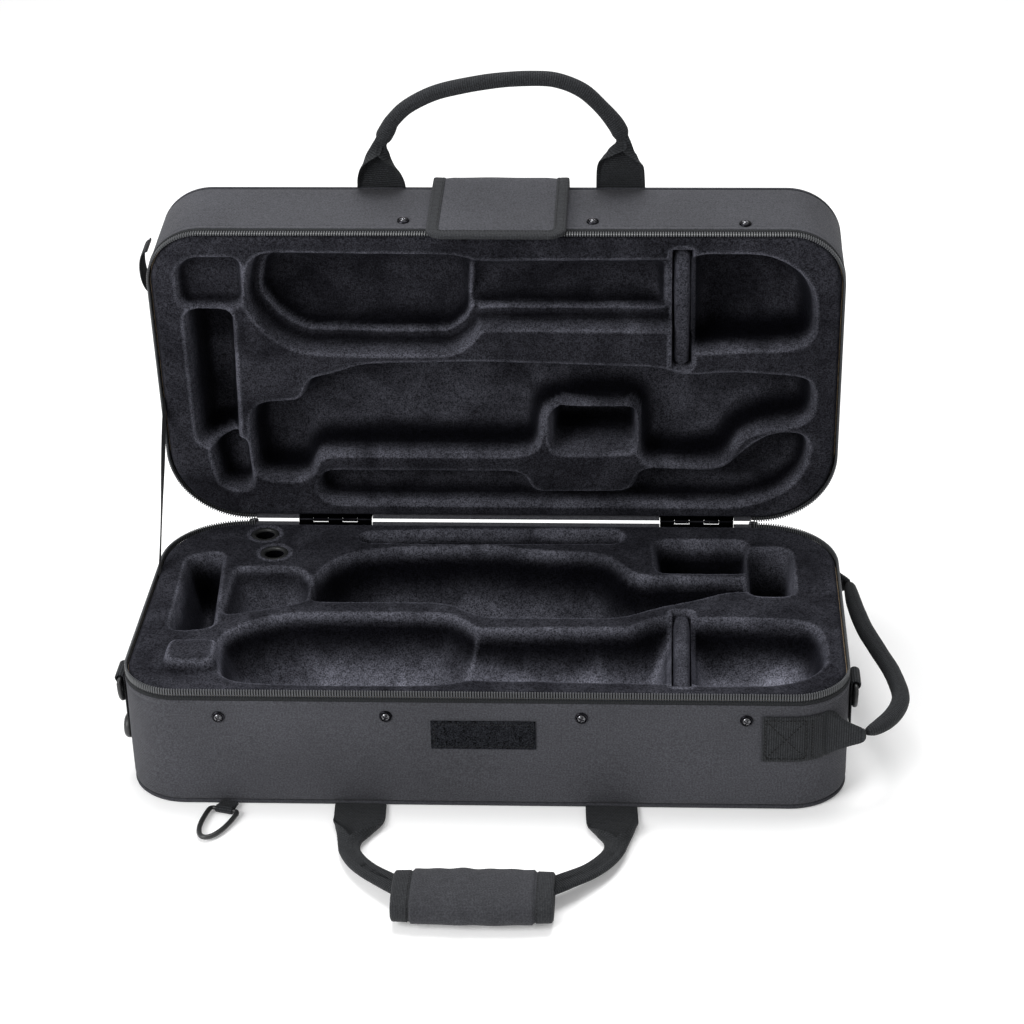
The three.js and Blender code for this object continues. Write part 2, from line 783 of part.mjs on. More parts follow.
const baseHandleShares = [
  [-0.1732, 0, 0, ...thinEnd], [-0.1732, 0.023, 0.01, ...flat], [-0.1732, 0.17, 0.08, ...flat], [-0.168, 0.36, 0.22, 0.42, 0.9, 0.4],
  [-0.157, 0.53, 0.42, 0.3, 1.8, 0.6], [-0.145, 0.72, 0.65, 0.28, 2, 0.6], [-0.132, 0.9, 0.86, 0.32, 1.8, 0.5],
  [-0.112, 1, 1, 0.38, 1.8, 0.3], [0.112, 1, 1, 0.38, 1.8, 0.3],
  [0.136, 0.89, 0.86, 0.32, 1.8, 0.5], [0.154, 0.7, 0.65, 0.28, 2, 0.6],
  [0.171, 0.51, 0.42, 0.3, 1.8, 0.6], [0.1768, 0.33, 0.22, 0.42, 0.9, 0.4], [0.175, 0.17, 0.08, ...flat],
  [0.175, 0.023, 0.01, ...flat], [0.175, 0, 0, ...thinEnd],
];
const baseHandleReach = 133.6;

function handleStops(half, shares, reach, lift) {
  const root = half.depth / 2 + clearance;
  return shares.map(([x, out, up, width, thickness, squareness]) => [
    x * half.width,
    half.front * (root + out * reach),
    pipingRadius + up * lift,
    width * webbingWidth,
    thickness * webbingThickness,
    squareness,
  ]);
}

const flatAcross = (along) => new THREE.Vector3(0, 0, 1).cross(along);
const outOfSeam = new THREE.Vector3(0, 1, 0);
const upward = new THREE.Vector3(0, 0, 1);

function lidHandle() {
  const tube = [tubeRadius / webbingWidth, tubeRadius / webbingThickness, 1];
  const arch = lidArchShares.map(([x, out]) => [x, out, 0, ...tube]);
  const stops = handleStops(lid, [...lidHandleShares, ...arch, ...lidHandleEndShares], lidHandleReach, 0);
  return strap(stops, flatAcross, outOfSeam, outOfSeam);
}

const gripLift = gripHeight / 2 + clearance - pipingRadius;
const gripPlace = () => [0, -(base.depth / 2 + clearance + baseHandleReach), pipingRadius + gripLift];

function baseHandle() {
  return strap(handleStops(base, baseHandleShares, baseHandleReach, gripLift), flatAcross, outOfSeam, outOfSeam);
}

// The padded wrap round the handle: a sleeve whose bore fits the folded webbing.
const gripSquareness = 0.75;
const gripEndShare = 0.94;
const gripStrap = { widthShare: 0.38, thicknessShare: 1.8, squareness: 0.3 };
function gripSleeve() {
  const [x, y, z] = gripPlace();
  const along = new THREE.Vector3(1, 0, 0);
  const across = new THREE.Vector3(0, 1, 0);
  const rings = (halfLength, width, height, squareness) =>
    [-halfLength, halfLength].map((dx) =>
      section(new THREE.Vector3(x + dx, y, z), along, across, width / 2, height / 2, squareness),
    );
  const ends = (length, share) => rings(length / 2, gripDepth * share, gripHeight * share, gripSquareness);
  const chamfer = gripWall / 2;
  const [a, d] = ends(gripLength, gripEndShare);
  const [b, c] = ends(gripLength - chamfer * 2, 1);
  const outer = loft([a, b, c, d]);
  const boreWidth = (gripStrap.widthShare * webbingWidth + clearance) * 2;
  const boreHeight = (gripStrap.thicknessShare * webbingThickness + clearance) * 2;
  return cut(outer, [loft(rings(gripLength / 2 + overrun, boreWidth, boreHeight, gripStrap.squareness))]);
}

// End handle: webbing sewn to the front and back walls, folded to a tube that stands off the end.
const sideHandleHeightShare = 0.6373;
const sideHandleHeight = sideHandleHeightShare * baseHeight;
const sideHandleReach = 45;
const sideHandleAxis = 12;
const sideHandleGap = 1.2;
const sideFrontShare = -0.465;
const sideRearShare = 0.365;

// Stops of the tube: how far out, and how far from front to back, as shares.
const sideTubeShares = [
  [0, 0], [0.25, 0.04], [0.66, 0.15], [0.95, 0.27], [1, 0.4], [0.9, 0.6], [0.62, 0.79], [0.25, 0.94], [0, 1],
];
const sideTubeRadiusShares = [0.55, 0.75, 0.95, 1, 1, 1, 1, 0.8, 0.55];

function sideHandleLoop() {
  const front = sideFrontShare * caseDepth;
  const rear = sideRearShare * caseDepth;
  const axisX = caseWidth / 2 + sideHandleAxis;
  const reach = sideHandleReach - sideHandleAxis;
  const stops = sideTubeShares.map(([out, along], i) => {
    const radius = sideTubeRadiusShares[i] * tubeRadius;
    return [axisX + out * reach, front + along * (rear - front), sideHandleHeight, radius, radius, 1];
  });
  return strap(stops, () => upward, outOfSeam, outOfSeam);
}

// Webbing sewn round a corner of the wall, which leaves it after some of the corner's steps and narrows to
// the end of the tube.
const frontPatchTurns = 2;
const rearPatchTurns = 3;
const patchLieShare = 0.55;
const flatPatch = [0.5, 0.5, 0.3];
const foldedPatch = [0.34, 1, 0.5];
const pinchedPatch = [0.15, 2, 0.8];
const closedPatch = [0.1, 2, 1];
const pinchStep = webbingThickness * 1.5;
function sideHandlePatch(corner) {
  const wallX = caseWidth / 2;
  const wallY = caseDepth / 2;
  const sign = corner === "front" ? -1 : 1;
  const radius = corner === "front" ? frontCornerRadius : rearCornerRadius;
  const end = (corner === "front" ? sideFrontShare : sideRearShare) * caseDepth + sign * sideHandleGap;
  const offset = clearance + webbingThickness / 2;
  const start = wallX - radius - webbingWidth * patchLieShare;
  const wall = sign * (wallY + offset);
  const stops = [[start, wall, ...flatPatch], [wallX - radius, wall, ...flatPatch]];
  const turns = corner === "front" ? frontPatchTurns : rearPatchTurns;
  for (let i = 1; i <= turns; i++) {
    const angle = (i / cornerSteps) * rightAngle;
    const out = radius + offset;
    const x = wallX - radius + out * Math.sin(angle);
    const y = sign * (wallY - radius + out * Math.cos(angle));
    stops.push([x, y, ...flatPatch]);
  }
  const axisX = wallX + sideHandleAxis;
  const last = stops[stops.length - 1];
  const between = [(last[0] + axisX) / 2, (last[1] + end) / 2 + sign * webbingThickness];
  stops.push([...between, ...foldedPatch]);
  stops.push([axisX - webbingThickness, end + sign * pinchStep, ...pinchedPatch]);
  stops.push([axisX, end, ...closedPatch]);
  const full = stops.map(([x, y, width, thickness, squareness]) => [
    x, y, sideHandleHeight, width * webbingWidth, thickness * webbingThickness, squareness,
  ]);
  return strap(full, () => upward, undefined, outOfSeam);
}

// Strap rings: a D of moulded wire that swings on its bar, in X and Y with the bar on the X axis and the
// bow towards -Y.
function dRing(width, length) {
  const outer = width / 2;
  const inner = outer - ringWire;
  const bow = (radius, end) => {
    const points = [];
    for (let i = 0; i <= screwSteps; i++) {
      const angle = (i / screwSteps) * Math.PI;
      points.push([radius * Math.cos(angle), -end * Math.sin(angle) ** bowSquareness]);
    }
    return points;
  };
  const reach = length - ringBarRadius;
  const outline = [
    [outer, ringBarRadius],
    ...bow(outer, reach),
    [-outer, ringBarRadius],
    [-inner, ringBarRadius],
    ...bow(inner, reach - ringWire).reverse(),
    [inner, ringBarRadius],
  ];
  const plate = upright(shapeOf(outline), -ringWire / 2, ringWire / 2);
  return join([plate, rod(ringBarRadius, width - ringWire, screwSteps, "x", [0, 0, 0])]);
}

// A tab of folded webbing that runs up a wall and round the ring's bar at its top, as an outline in Y (out
// of the wall) and Z with the bar at the origin, carried along X.
const endTabBore = ringBarRadius + clearance * 2;
const endTabRoll = endTabBore + endTabThickness;
function wallTab() {
  const bore = endTabBore;
  const roll = endTabRoll;
  const back = -roll;
  const foot = -endTabLength + roll;
  const face = back + endTabThickness;
  const points = [[back, foot], [face, foot], [face, -roll - endTabThickness]];
  for (let i = 0; i <= screwSteps; i++) {
    const angle = (i / screwSteps) * Math.PI - rightAngle;
    points.push([roll * Math.cos(angle), roll * Math.sin(angle)]);
  }
  points.push([back, roll]);
  const shape = shapeWithHole(flatPoints(points), circle(0, 0, bore, screwSteps));
  return acrossX(shape, -endTabWidth / 2, endTabWidth / 2);
}

// A shorter tab that leaves a seam and closes round the bar.
const seamTabWall = loopWall * 0.6;
function seamTab() {
  const bore = ringBarRadius + clearance;
  const roll = bore + seamTabWall;
  const halfStrap = webbingThickness / 2;
  const points = [[bottomTabLength, -halfStrap], [bottomTabLength, halfStrap]];
  const start = Math.asin(halfStrap / roll) * 2;
  for (let i = 0; i <= screwSteps; i++) {
    const angle = start + (i / screwSteps) * (Math.PI - start) * 2;
    points.push([roll * Math.cos(angle), roll * Math.sin(angle)]);
  }
  const shape = shapeWithHole(flatPoints(points), circle(0, 0, bore, screwSteps));
  return acrossX(shape, -bottomTabWidth / 2, bottomTabWidth / 2);
}

// Round stud under the left strap ring, as shares of its radius and height.
const knobShares = [[0, 0], [0.8, 0], [1, 0.35], [0.92, 0.7], [0.6, 0.94], [0, 1]];
function knob() {
  const profile = knobShares.map(([r, h]) => new THREE.Vector2(r * knobRadius, h * knobHeight));
  const turned = new THREE.LatheGeometry(profile, mouthRingSteps);
  return turned.rotateZ(rightAngle);
}

// A low loop of webbing on the lid's end, as half an ellipse with a hollow under it.
function endLoop() {
  const rise = knobHeight + loopWall;
  const reach = webbingWidth / 2;
  const arch = (out, along) => {
    const points = [];
    for (let i = 0; i <= screwSteps; i++) {
      const angle = (i / screwSteps) * Math.PI;
      points.push([-out * Math.sin(angle), along * Math.cos(angle)]);
    }
    return points;
  };
  const outer = [[0, reach], ...arch(rise, reach).slice(1, -1), [0, -reach]];
  const inner = arch(rise - loopWall, reach - loopWall * 2).map(([x, y]) => [Math.min(x, -loopWall / 2), y]);
  return upright(shapeWithHole(flatPoints(outer), flatPoints(inner)), -endTabWidth / 2, endTabWidth / 2);
}

// Flap: its way from the sewn root on the lid's top, over the edge and down the front, as how far it stands
// out of the front wall in shares of its rise and how far down in shares of the lid's height.
const flapPathShares = [[0.42, -0.06], [0.82, -0.04], [1, 0.03], [0.98, 0.16], [0.76, 0.5], [0.5, 0.85], [0.4, 1]];
const flapBend = { backShare: 0.45, dropShare: 0.08 };
const flapRootLine = () => [lid.depth / 2 - flapRoot, -clearance - bindingThickness / 2];

function flapPath() {
  const [rootY, rootZ] = flapRootLine();
  const edge = lid.depth / 2;
  const places = flapPathShares.map(([out, down]) => [edge + out * flapRise, down * (lid.height + flapHang)]);
  return [[rootY, rootZ], [edge - flapRoot * flapBend.backShare, rootZ - flapRise * flapBend.dropShare], ...places].map(
    ([y, z]) => new THREE.Vector2(y, z),
  );
}

// A strip that follows a path in Y and Z between two distances on its outer side.
function pathStrip(path, low, high, xFrom, xTo) {
  const sides = path.map((here, i) => {
    const before = path[Math.max(i - 1, 0)];
    const after = path[Math.min(i + 1, path.length - 1)];
    const along = after.clone().sub(before).normalize();
    return new THREE.Vector2(along.y, -along.x);
  });
  const row = (distance) => path.map((p, i) => p.clone().addScaledVector(sides[i], distance));
  const points = [...row(low), ...row(high).reverse()];
  return acrossX(new THREE.Shape(points), xFrom, xTo);
}

// The outline's Z runs down the front wall, so it is turned to stand across the flap's strip.
function flapTrim(inset) {
  const turn = new THREE.Matrix4().makeBasis(
    new THREE.Vector3(1, 0, 0),
    new THREE.Vector3(0, 0, 1),
    new THREE.Vector3(0, -1, 0),
  );
  const reach = flapWidth / 2 - inset;
  const foot = lid.height + flapHang - inset;
  const corner = flapCorner - inset;
  const points = [[flapMiddle - reach, -flapRise * 2], [flapMiddle + reach, -flapRise * 2]];
  for (const side of [1, -1]) {
    for (let i = 0; i <= cornerSteps; i++) {
      const angle = (i / cornerSteps) * rightAngle + (side > 0 ? 0 : rightAngle);
      const middleX = flapMiddle + side * (reach - corner);
      points.push([middleX + corner * Math.cos(angle), foot - corner + corner * Math.sin(angle)]);
    }
  }
  return upright(shapeOf(points), -caseDepth, caseDepth).applyMatrix4(turn);
}

const flapSides = [flapMiddle - flapWidth / 2, flapMiddle + flapWidth / 2];

function flapPanel() {
  const strip = pathStrip(flapPath(), -flapThickness / 2, flapThickness / 2, ...flapSides);
  return overlap(strip, flapTrim(bindingWidth + clearance));
}

function flapBinding() {
  const strip = pathStrip(flapPath(), -bindingThickness / 2, bindingThickness / 2, ...flapSides);
  return cut(overlap(strip, flapTrim(0)), [flapTrim(bindingWidth)]);
}

function hookPatch() {
  const near = -bindingThickness / 2 - clearance;
  const strip = pathStrip(flapPath(), near - patchThickness, near, flapMiddle - patchWidth / 2, flapMiddle + patchWidth / 2);
  const foot = lid.height + flapHang - bindingWidth;
  const window = box([-caseWidth, 0, foot - patchHeight], [caseWidth, caseDepth, foot]);
  return overlap(strip, window);
}

// Stay ribbon, from the base's rim groove to the lid's: distance from the hinge side at both ends.
const ribbonBaseShare = 0.327;
const ribbonLidShare = 0.426;

function lidPoint(s, rise) {
  const y = caseDepth / 2 - s * Math.cos(openAngle) + (rise + hingeLine) * Math.sin(openAngle);
  const z = baseHeight + hingeLine + s * Math.sin(openAngle) + (rise + hingeLine) * Math.cos(openAngle);
  return new THREE.Vector3(0, y, z);
}

function stayRibbon() {
  const x = -caseWidth / 2 + teethWidth + grooveWidth / 2;
  const low = new THREE.Vector3(x, caseDepth * (0.5 - ribbonBaseShare), baseHeight - flangeThickness + clearance);
  const high = lidPoint(caseDepth * ribbonLidShare, flangeThickness - clearance).setX(x);
  const along = high.clone().sub(low).normalize();
  const side = new THREE.Vector3(0, along.z, -along.y);
  const ring = (at, across) =>
    [[-1, -1], [1, -1], [1, 1], [-1, 1]].map(([u, v]) => {
      const corner = at.clone().addScaledVector(side, (u * ribbonWidth) / 2);
      const short = at.clone().sub(corner).dot(across) / along.dot(across);
      return corner.addScaledVector(along, short).setX(x + (v * ribbonThickness) / 2);
    });
  const lidUp = new THREE.Vector3(0, Math.sin(openAngle), Math.cos(openAngle));
  return loft([ring(low, new THREE.Vector3(0, 0, 1)), ring(high, lidUp)]);
}

// Zip sliders: a body that rides on the teeth outside the wall, with a bail for its pull. Each is built
// round its own bail: X along the zip, Y out of the wall, Z up.
function sliderBody() {
  const reach = pullWidth / 2 + clearance;
  const wall = -bailReach;
  const rise = teethHeight + teethRise / 2;
  const body = box([-sliderLength / 2, wall - sliderDepth, -overrun], [sliderLength / 2, wall, sliderHeight - overrun]);
  const ears = [-1, 1].map((side) => {
    const from = side > 0 ? reach : -reach - earWidth;
    return box([from, wall - overrun, -earReach], [from + earWidth, earReach, earReach]);
  });
  const bar = rod(bailRadius, reach * 2 + earWidth, hingeSteps, "x", [0, 0, 0]);
  return { geometry: join([body, ...ears, bar]), rise };
}

function sliderPull() {
  const eye = bailRadius + clearance;
  const head = eye + pullEyeWall;
  const points = [];
  const halfTail = pullThickness / 2;
  const start = Math.asin(halfTail / head);
  for (let i = 0; i <= screwSteps; i++) {
    const angle = start - rightAngle + (i / screwSteps) * (Math.PI - start) * 2;
    points.push([head * Math.cos(angle), head * Math.sin(angle)]);
  }
  points.push([-halfTail, -pullLength], [halfTail, -pullLength]);
  const shape = shapeWithHole(flatPoints(points), circle(0, 0, eye, hingeSteps));
  return acrossX(shape, -pullWidth / 2, pullWidth / 2);
}

// Assembly

const instrumentCase = new THREE.Group();
const baseGroup = new THREE.Group();
const lidGroup = new THREE.Group();
const lidTray = new THREE.Group();
instrumentCase.add(baseGroup, lidGroup);
lidGroup.position.set(0, caseDepth / 2, baseHeight + hingeLine);
lidGroup.rotation.x = -openAngle;
lidTray.rotation.x = Math.PI;
lidTray.position.set(0, -caseDepth / 2, lidHeight + hingeLine);
lidGroup.add(lidTray);

function place(group, name, geometry, material, position = [0, 0, 0]) {
  const mesh = new THREE.Mesh(geometry, material);
  mesh.name = name;
  mesh.position.set(...position);
  group.add(mesh);
  return mesh;
}

function addHalf(group, half, hollows, panelName) {
  const name = half.name;
  place(group, `${name}_side_cover`, sideCover(half), nylon);
  place(group, `${name}_${panelName}`, slab(half, panelInset, 0, panelThickness), nylon);
  place(group, `${name}_piping`, piping(half), webbing);
  place(group, `${name}_shell`, shell(half), board);
  place(group, `${name}_insert`, makeInsert(half, hollows), plush);
  place(group, `${name}_divider`, dividerBody(half, 0), plush);
  place(group, `${name}_zip_tape`, zipTape(half), webbing);
  place(group, `${name}_zip_teeth`, zipTeeth(half), zipTeethMaterial);
  screwPlaces(half).forEach((at, i) => place(group, `${name}_screw_${i + 1}`, screw(half, at), blackNickel));
}

addHalf(baseGroup, base, baseHollows, "bottom_cover");
addHalf(lidTray, lid, lidHollows, "top_cover");

for (const [end, at] of Object.entries(mouthShares)) {
  place(baseGroup, `mouthpiece_ring_${end}`, mouthRing(mouthPlace(at)), blackPlastic);
}
place(baseGroup, "loop_patch", frontPatch(base, 0, loopPatchHeight, patchWidth, patchHeight, patchThickness), loopPile);

for (const [side, share] of Object.entries(hingeShares)) {
  place(baseGroup, `hinge_${side}_base_leaf`, hingeLeaf(base, share, 0), blackNickel);
  place(lidTray, `hinge_${side}_lid_leaf`, hingeLeaf(lid, share, 1), blackNickel);
  place(baseGroup, `hinge_${side}_pin`, hingePin(share), blackNickel);
}

place(baseGroup, "base_handle_webbing", baseHandle(), webbing);
place(baseGroup, "base_handle_grip", gripSleeve(), nylon);
place(lidTray, "lid_handle", lidHandle(), webbing);
place(baseGroup, "side_handle_front_patch", sideHandlePatch("front"), webbing);
place(baseGroup, "side_handle_rear_patch", sideHandlePatch("rear"), webbing);
place(baseGroup, "side_handle_loop", sideHandleLoop(), webbing);

// Strap rings at the two ends hang from their bars, and the one at the bottom seam lies on the table.
const endRingDepthShare = -0.3125;
const endRingHeightShare = 0.865;
for (const [side, sign] of [["right", 1], ["left", -1]]) {
  const holder = new THREE.Group();
  const out = clearance + endTabRoll;
  holder.position.set(sign * (caseWidth / 2 + out), endRingDepthShare * caseDepth, endRingHeightShare * baseHeight);
  holder.rotation.z = -sign * rightAngle;
  baseGroup.add(holder);
  place(holder, `${side}_ring_tab`, wallTab(), webbing);
  place(holder, `${side}_ring`, dRing(endRingWidth, endRingLength).rotateX(rightAngle), blackPlastic);
}
const knobGap = 3.8;
const knobDrop = endTabLength - endTabRoll + knobGap + knobRadius;
const knobPlace = [-caseWidth / 2 - clearance, endRingDepthShare * caseDepth, endRingHeightShare * baseHeight - knobDrop];
place(baseGroup, "left_knob", knob(), blackPlastic, knobPlace);

const bottomRingShare = -0.359;
const bottomRingTurn = -0.27;
const bottomHolder = new THREE.Group();
bottomHolder.position.set(
  bottomRingShare * caseWidth,
  -caseDepth / 2 - clearance - bottomTabLength * Math.cos(bottomRingTurn) + (bottomTabWidth / 2) * Math.sin(bottomRingTurn),
  ringBarRadius + clearance + seamTabWall + clearance,
);
bottomHolder.rotation.z = bottomRingTurn;
baseGroup.add(bottomHolder);
place(bottomHolder, "bottom_ring_tab", seamTab(), webbing);
place(bottomHolder, "bottom_ring", dRing(bottomRingWidth, bottomRingLength), blackPlastic);

const lidLoopDepthShare = 0.335;
const lidLoopHeightShare = 0.66;
const lidLoopPlace = [-caseWidth / 2 - clearance, lidLoopDepthShare * caseDepth, lidLoopHeightShare * lidHeight];
place(lidTray, "lid_end_loop", endLoop(), webbing, lidLoopPlace);

place(lidTray, "flap", flapPanel(), nylon);
place(lidTray, "flap_binding", flapBinding(), webbing);
place(lidTray, "hook_patch", hookPatch(), loopPile);
place(baseGroup, "stay_ribbon", stayRibbon(), webbing);

for (const [side, sign] of [["left", -1], ["right", 1]]) {
  const holder = new THREE.Group();
  const { geometry, rise } = sliderBody();
  const along = caseWidth * zipEndShare + sliderLength / 2 - overrun * 2;
  const out = caseDepth / 2 + clearance + sliderDepth + bailReach;
  holder.position.set(sign * along, out, baseHeight - rise);
  baseGroup.add(holder);
  place(holder, `zip_slider_${side}`, geometry, blackNickel);
  place(holder, `zip_pull_${side}`, sliderPull(), blackNickel);
}

export default instrumentCase;
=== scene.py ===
"""An open trumpet case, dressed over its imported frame.

The case is a base tray and a lid tray, each covered in nylon, lined with a moulded plush insert and edged
with half of a zip. All shapes are worked out in millimetres as whole numpy arrays and put into meshes in
metres. A place in a half is (x, s, h): across, from the hinge side, and from the outer panel to the rim.
"""
import json
import logging
import math
from dataclasses import dataclass, replace
from enum import Enum

import bmesh
import bpy
import numpy as np
from mathutils import Matrix, Vector

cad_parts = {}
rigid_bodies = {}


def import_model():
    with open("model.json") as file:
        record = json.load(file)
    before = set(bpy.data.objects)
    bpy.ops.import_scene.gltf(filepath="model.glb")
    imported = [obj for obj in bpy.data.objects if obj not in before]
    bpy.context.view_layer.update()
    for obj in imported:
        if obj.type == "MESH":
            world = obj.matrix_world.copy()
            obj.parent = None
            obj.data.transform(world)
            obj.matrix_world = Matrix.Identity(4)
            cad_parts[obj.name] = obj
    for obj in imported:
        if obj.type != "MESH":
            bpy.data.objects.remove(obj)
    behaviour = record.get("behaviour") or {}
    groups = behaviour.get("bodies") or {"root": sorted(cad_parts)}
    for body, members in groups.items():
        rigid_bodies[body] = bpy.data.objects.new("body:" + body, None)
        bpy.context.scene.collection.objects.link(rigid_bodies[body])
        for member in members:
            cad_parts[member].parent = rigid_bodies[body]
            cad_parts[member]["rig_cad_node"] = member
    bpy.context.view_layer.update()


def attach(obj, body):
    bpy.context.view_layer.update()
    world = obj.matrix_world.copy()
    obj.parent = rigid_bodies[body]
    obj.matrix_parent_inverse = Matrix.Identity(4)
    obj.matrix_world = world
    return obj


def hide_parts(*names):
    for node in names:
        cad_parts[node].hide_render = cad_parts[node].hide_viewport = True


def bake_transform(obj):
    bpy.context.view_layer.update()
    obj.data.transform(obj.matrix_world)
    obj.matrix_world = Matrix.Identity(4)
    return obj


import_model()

log = logging.getLogger("case")
METRE = 0.001
TURN = 2 * math.pi
X, Y, Z = np.eye(3)
MERGE_WITHIN = 2e-6
NO_LENGTH = 1e-7
WELL_AWAY = 12.0
NO_TRIANGLES = np.zeros((0, 3), int)
Colour = tuple[float, float, float, float]
Pair = tuple[float, float]
Rows = tuple[tuple[float, ...], ...]
Socket = bpy.types.NodeSocket


# Numbers and lines


def unit(vectors: np.ndarray) -> np.ndarray:
    """The vectors at length one."""
    return vectors / np.maximum(np.linalg.norm(vectors, axis=-1, keepdims=True), 1e-9)


def stacked(*values: np.ndarray) -> np.ndarray:
    """Arrays stretched to one shape and put together, so that each is a coordinate of places."""
    return np.stack(np.broadcast_arrays(*values), -1)


def around(sides: int) -> np.ndarray:
    """The angles once round a section of so many sides, with the last on the first."""
    return np.linspace(0, TURN, sides + 1)


def squared(wave: np.ndarray, power: float) -> np.ndarray:
    """A sine or cosine raised to a power with its sign kept, which turns a round section squarish."""
    return np.sign(wave) * np.abs(wave) ** power


def rises(value: np.ndarray) -> np.ndarray:
    """A soft step: 0 below 0, 1 above 1, and 3t squared less 2t cubed between."""
    t = np.clip(value, 0, 1)
    return t * t * (3 - 2 * t)


def falls(share: np.ndarray, power: float) -> np.ndarray:
    """A way from 0 to 1 that is steep at first and eases by a power of what is left."""
    return 1 - (1 - np.clip(share, 0, 1)) ** power


def bell(value: np.ndarray) -> np.ndarray:
    """A bell curve that is 1 at 0."""
    return np.exp(-(value**2))


def lengths(points: np.ndarray, axis: int = 0) -> np.ndarray:
    """How far each point of a polyline is along it, from the first, down one axis of the array."""
    steps = np.linalg.norm(np.diff(points, axis=axis), axis=-1)
    return np.concatenate([np.zeros_like(steps.take([0], axis=axis)), np.cumsum(steps, axis=axis)], axis=axis)


def sampled(values: np.ndarray, along: np.ndarray, at: np.ndarray) -> np.ndarray:
    """Rows of numbers that lie at distances along a line, read off at other distances."""
    return np.stack([np.interp(at, along, column) for column in values.T], -1)


def evened(points: np.ndarray, count: int) -> np.ndarray:
    """A polyline read off at so many even steps of its point numbers."""
    return sampled(points, np.arange(len(points)), np.linspace(0, len(points) - 1, count))


def directions(path: np.ndarray) -> np.ndarray:
    """The unit direction of a path at each of its points."""
    return unit(np.gradient(path, axis=0))


def spline(stops: np.ndarray, count: int, fineness: int = 24) -> np.ndarray:
    """A smooth run through rows of numbers whose first three are a place.

    Between two rows it is the Catmull-Rom cubic of them and their neighbours.

    Args:
        stops: the rows to pass through, at least two.
        count: how many rows come back.
        fineness: how many points of the cubics are worked out for each stop.

    Returns:
        Rows at even distances along the run.
    """
    stops = np.asarray(stops, float)
    padded = np.vstack([2 * stops[0] - stops[1], stops, 2 * stops[-1] - stops[-2]])
    at = np.linspace(0, len(stops) - 1, fineness * len(stops))
    i = np.minimum(at.astype(int), len(stops) - 2)
    t = (at - i)[:, None]
    a, b, c, d = (padded[i + k] for k in range(4))
    fine = 0.5 * (2 * b + (c - a) * t + (2 * a - 5 * b + 4 * c - d) * t**2 + (3 * b - a - 3 * c + d) * t**3)
    along = lengths(fine[:, :3])
    return sampled(fine, along, np.linspace(0, along[-1], count))


def flat_spline(stops: np.ndarray, count: int) -> np.ndarray:
    """A smooth run through places on a plane."""
    return spline(np.pad(np.asarray(stops, float), ((0, 0), (0, 1))), count)[:, :2]


def soft_noise(shape: tuple[int, int], cells: Pair, seed: int) -> np.ndarray:
    """Smooth seeded unevenness between about -1 and 1: twelve sine waves of random direction and phase.

    Args:
        shape: rows and columns.
        cells: how many waves fit in the rows and in the columns, at most.
        seed: the seed.

    Returns:
        An array of that shape.
    """
    rng = np.random.default_rng(seed)
    row = np.linspace(0, 1, shape[0])[:, None, None]
    column = np.linspace(0, 1, shape[1])[None, :, None]
    waves = rng.uniform(-1, 1, (2, 12)) * np.array(cells)[:, None]
    phase = rng.uniform(0, TURN, 12)
    return np.sin(TURN * (waves[0] * row + waves[1] * column) + phase).sum(-1) / 4


def blurred(values: np.ndarray, sigma: float) -> np.ndarray:
    """A field softened by a bell curve so many cells wide, down its rows and then its columns.

    Args:
        values: the field.
        sigma: the curve's standard deviation, in cells.

    Returns:
        The softened field.
    """
    reach = int(3 * sigma) + 1
    weight = np.exp(-0.5 * (np.arange(-reach, reach + 1) / sigma) ** 2)
    weight /= weight.sum()
    for axis in (0, 1):
        width = [(reach, reach) if a == axis else (0, 0) for a in (0, 1)]
        padded = np.pad(values, width, mode="edge")
        size = values.shape[axis]
        values = sum(w * padded.take(range(k, k + size), axis=axis) for k, w in enumerate(weight))
    return values


# Surfaces


@dataclass
class Surface:
    """A stretch of mesh.

    Args:
        points: places in millimetres, one row each.
        quads: four point numbers to a face.
        triangles: three point numbers to a face.
        uv: where each point lies on the cloth, in metres (u across it, v along it).
        finish: which of the piece's finishes it has.
        crest: how much painted light each point has, from 0, the darkest, to 1.
    """

    points: np.ndarray
    quads: np.ndarray
    triangles: np.ndarray
    uv: np.ndarray
    finish: int = 0
    crest: np.ndarray | None = None

    def moved(self, origin: np.ndarray, *axes: np.ndarray) -> "Surface":
        """The surface with its three axes laid along three directions from an origin."""
        return replace(self, points=np.asarray(origin, float) + self.points @ np.stack(axes))


def grid(points: np.ndarray, uv: np.ndarray | None = None, caps: bool = False, finish: int = 0) -> Surface:
    """A surface over a grid of points, where neighbours in a row and column make each face.

    Args:
        points: places with shape (rows, columns, 3).
        uv: cloth places with shape (rows, columns, 2). If None, u is the way round a row and v along them.
        caps: whether the first and last row are closed by a fan round their middle.
        finish: the surface's finish number.

    Returns:
        The surface.
    """
    if uv is None:
        around_row, along = lengths(points, axis=1).mean(axis=0), lengths(points.mean(axis=1))
        uv = stacked(around_row[None, :], along[:, None]) * METRE
    rows, columns = points.shape[:2]
    count = rows * columns
    index = np.arange(count).reshape(rows, columns)
    quads = np.stack([index[:-1, :-1], index[1:, :-1], index[1:, 1:], index[:-1, 1:]], -1).reshape(-1, 4)
    flat, flat_uv, triangles = points.reshape(-1, 3), uv.reshape(-1, 2), NO_TRIANGLES
    if caps:
        flat = np.vstack([flat, points[[0, -1], :-1].mean(axis=1)])
        flat_uv = np.vstack([flat_uv, uv[[0, -1]].mean(axis=1)])
        first = np.stack([index[0, :-1], index[0, 1:], np.full(columns - 1, count)], -1)
        last = np.stack([index[-1, 1:], index[-1, :-1], np.full(columns - 1, count + 1)], -1)
        triangles = np.vstack([first, last])
    return Surface(flat, quads, triangles, flat_uv, finish)


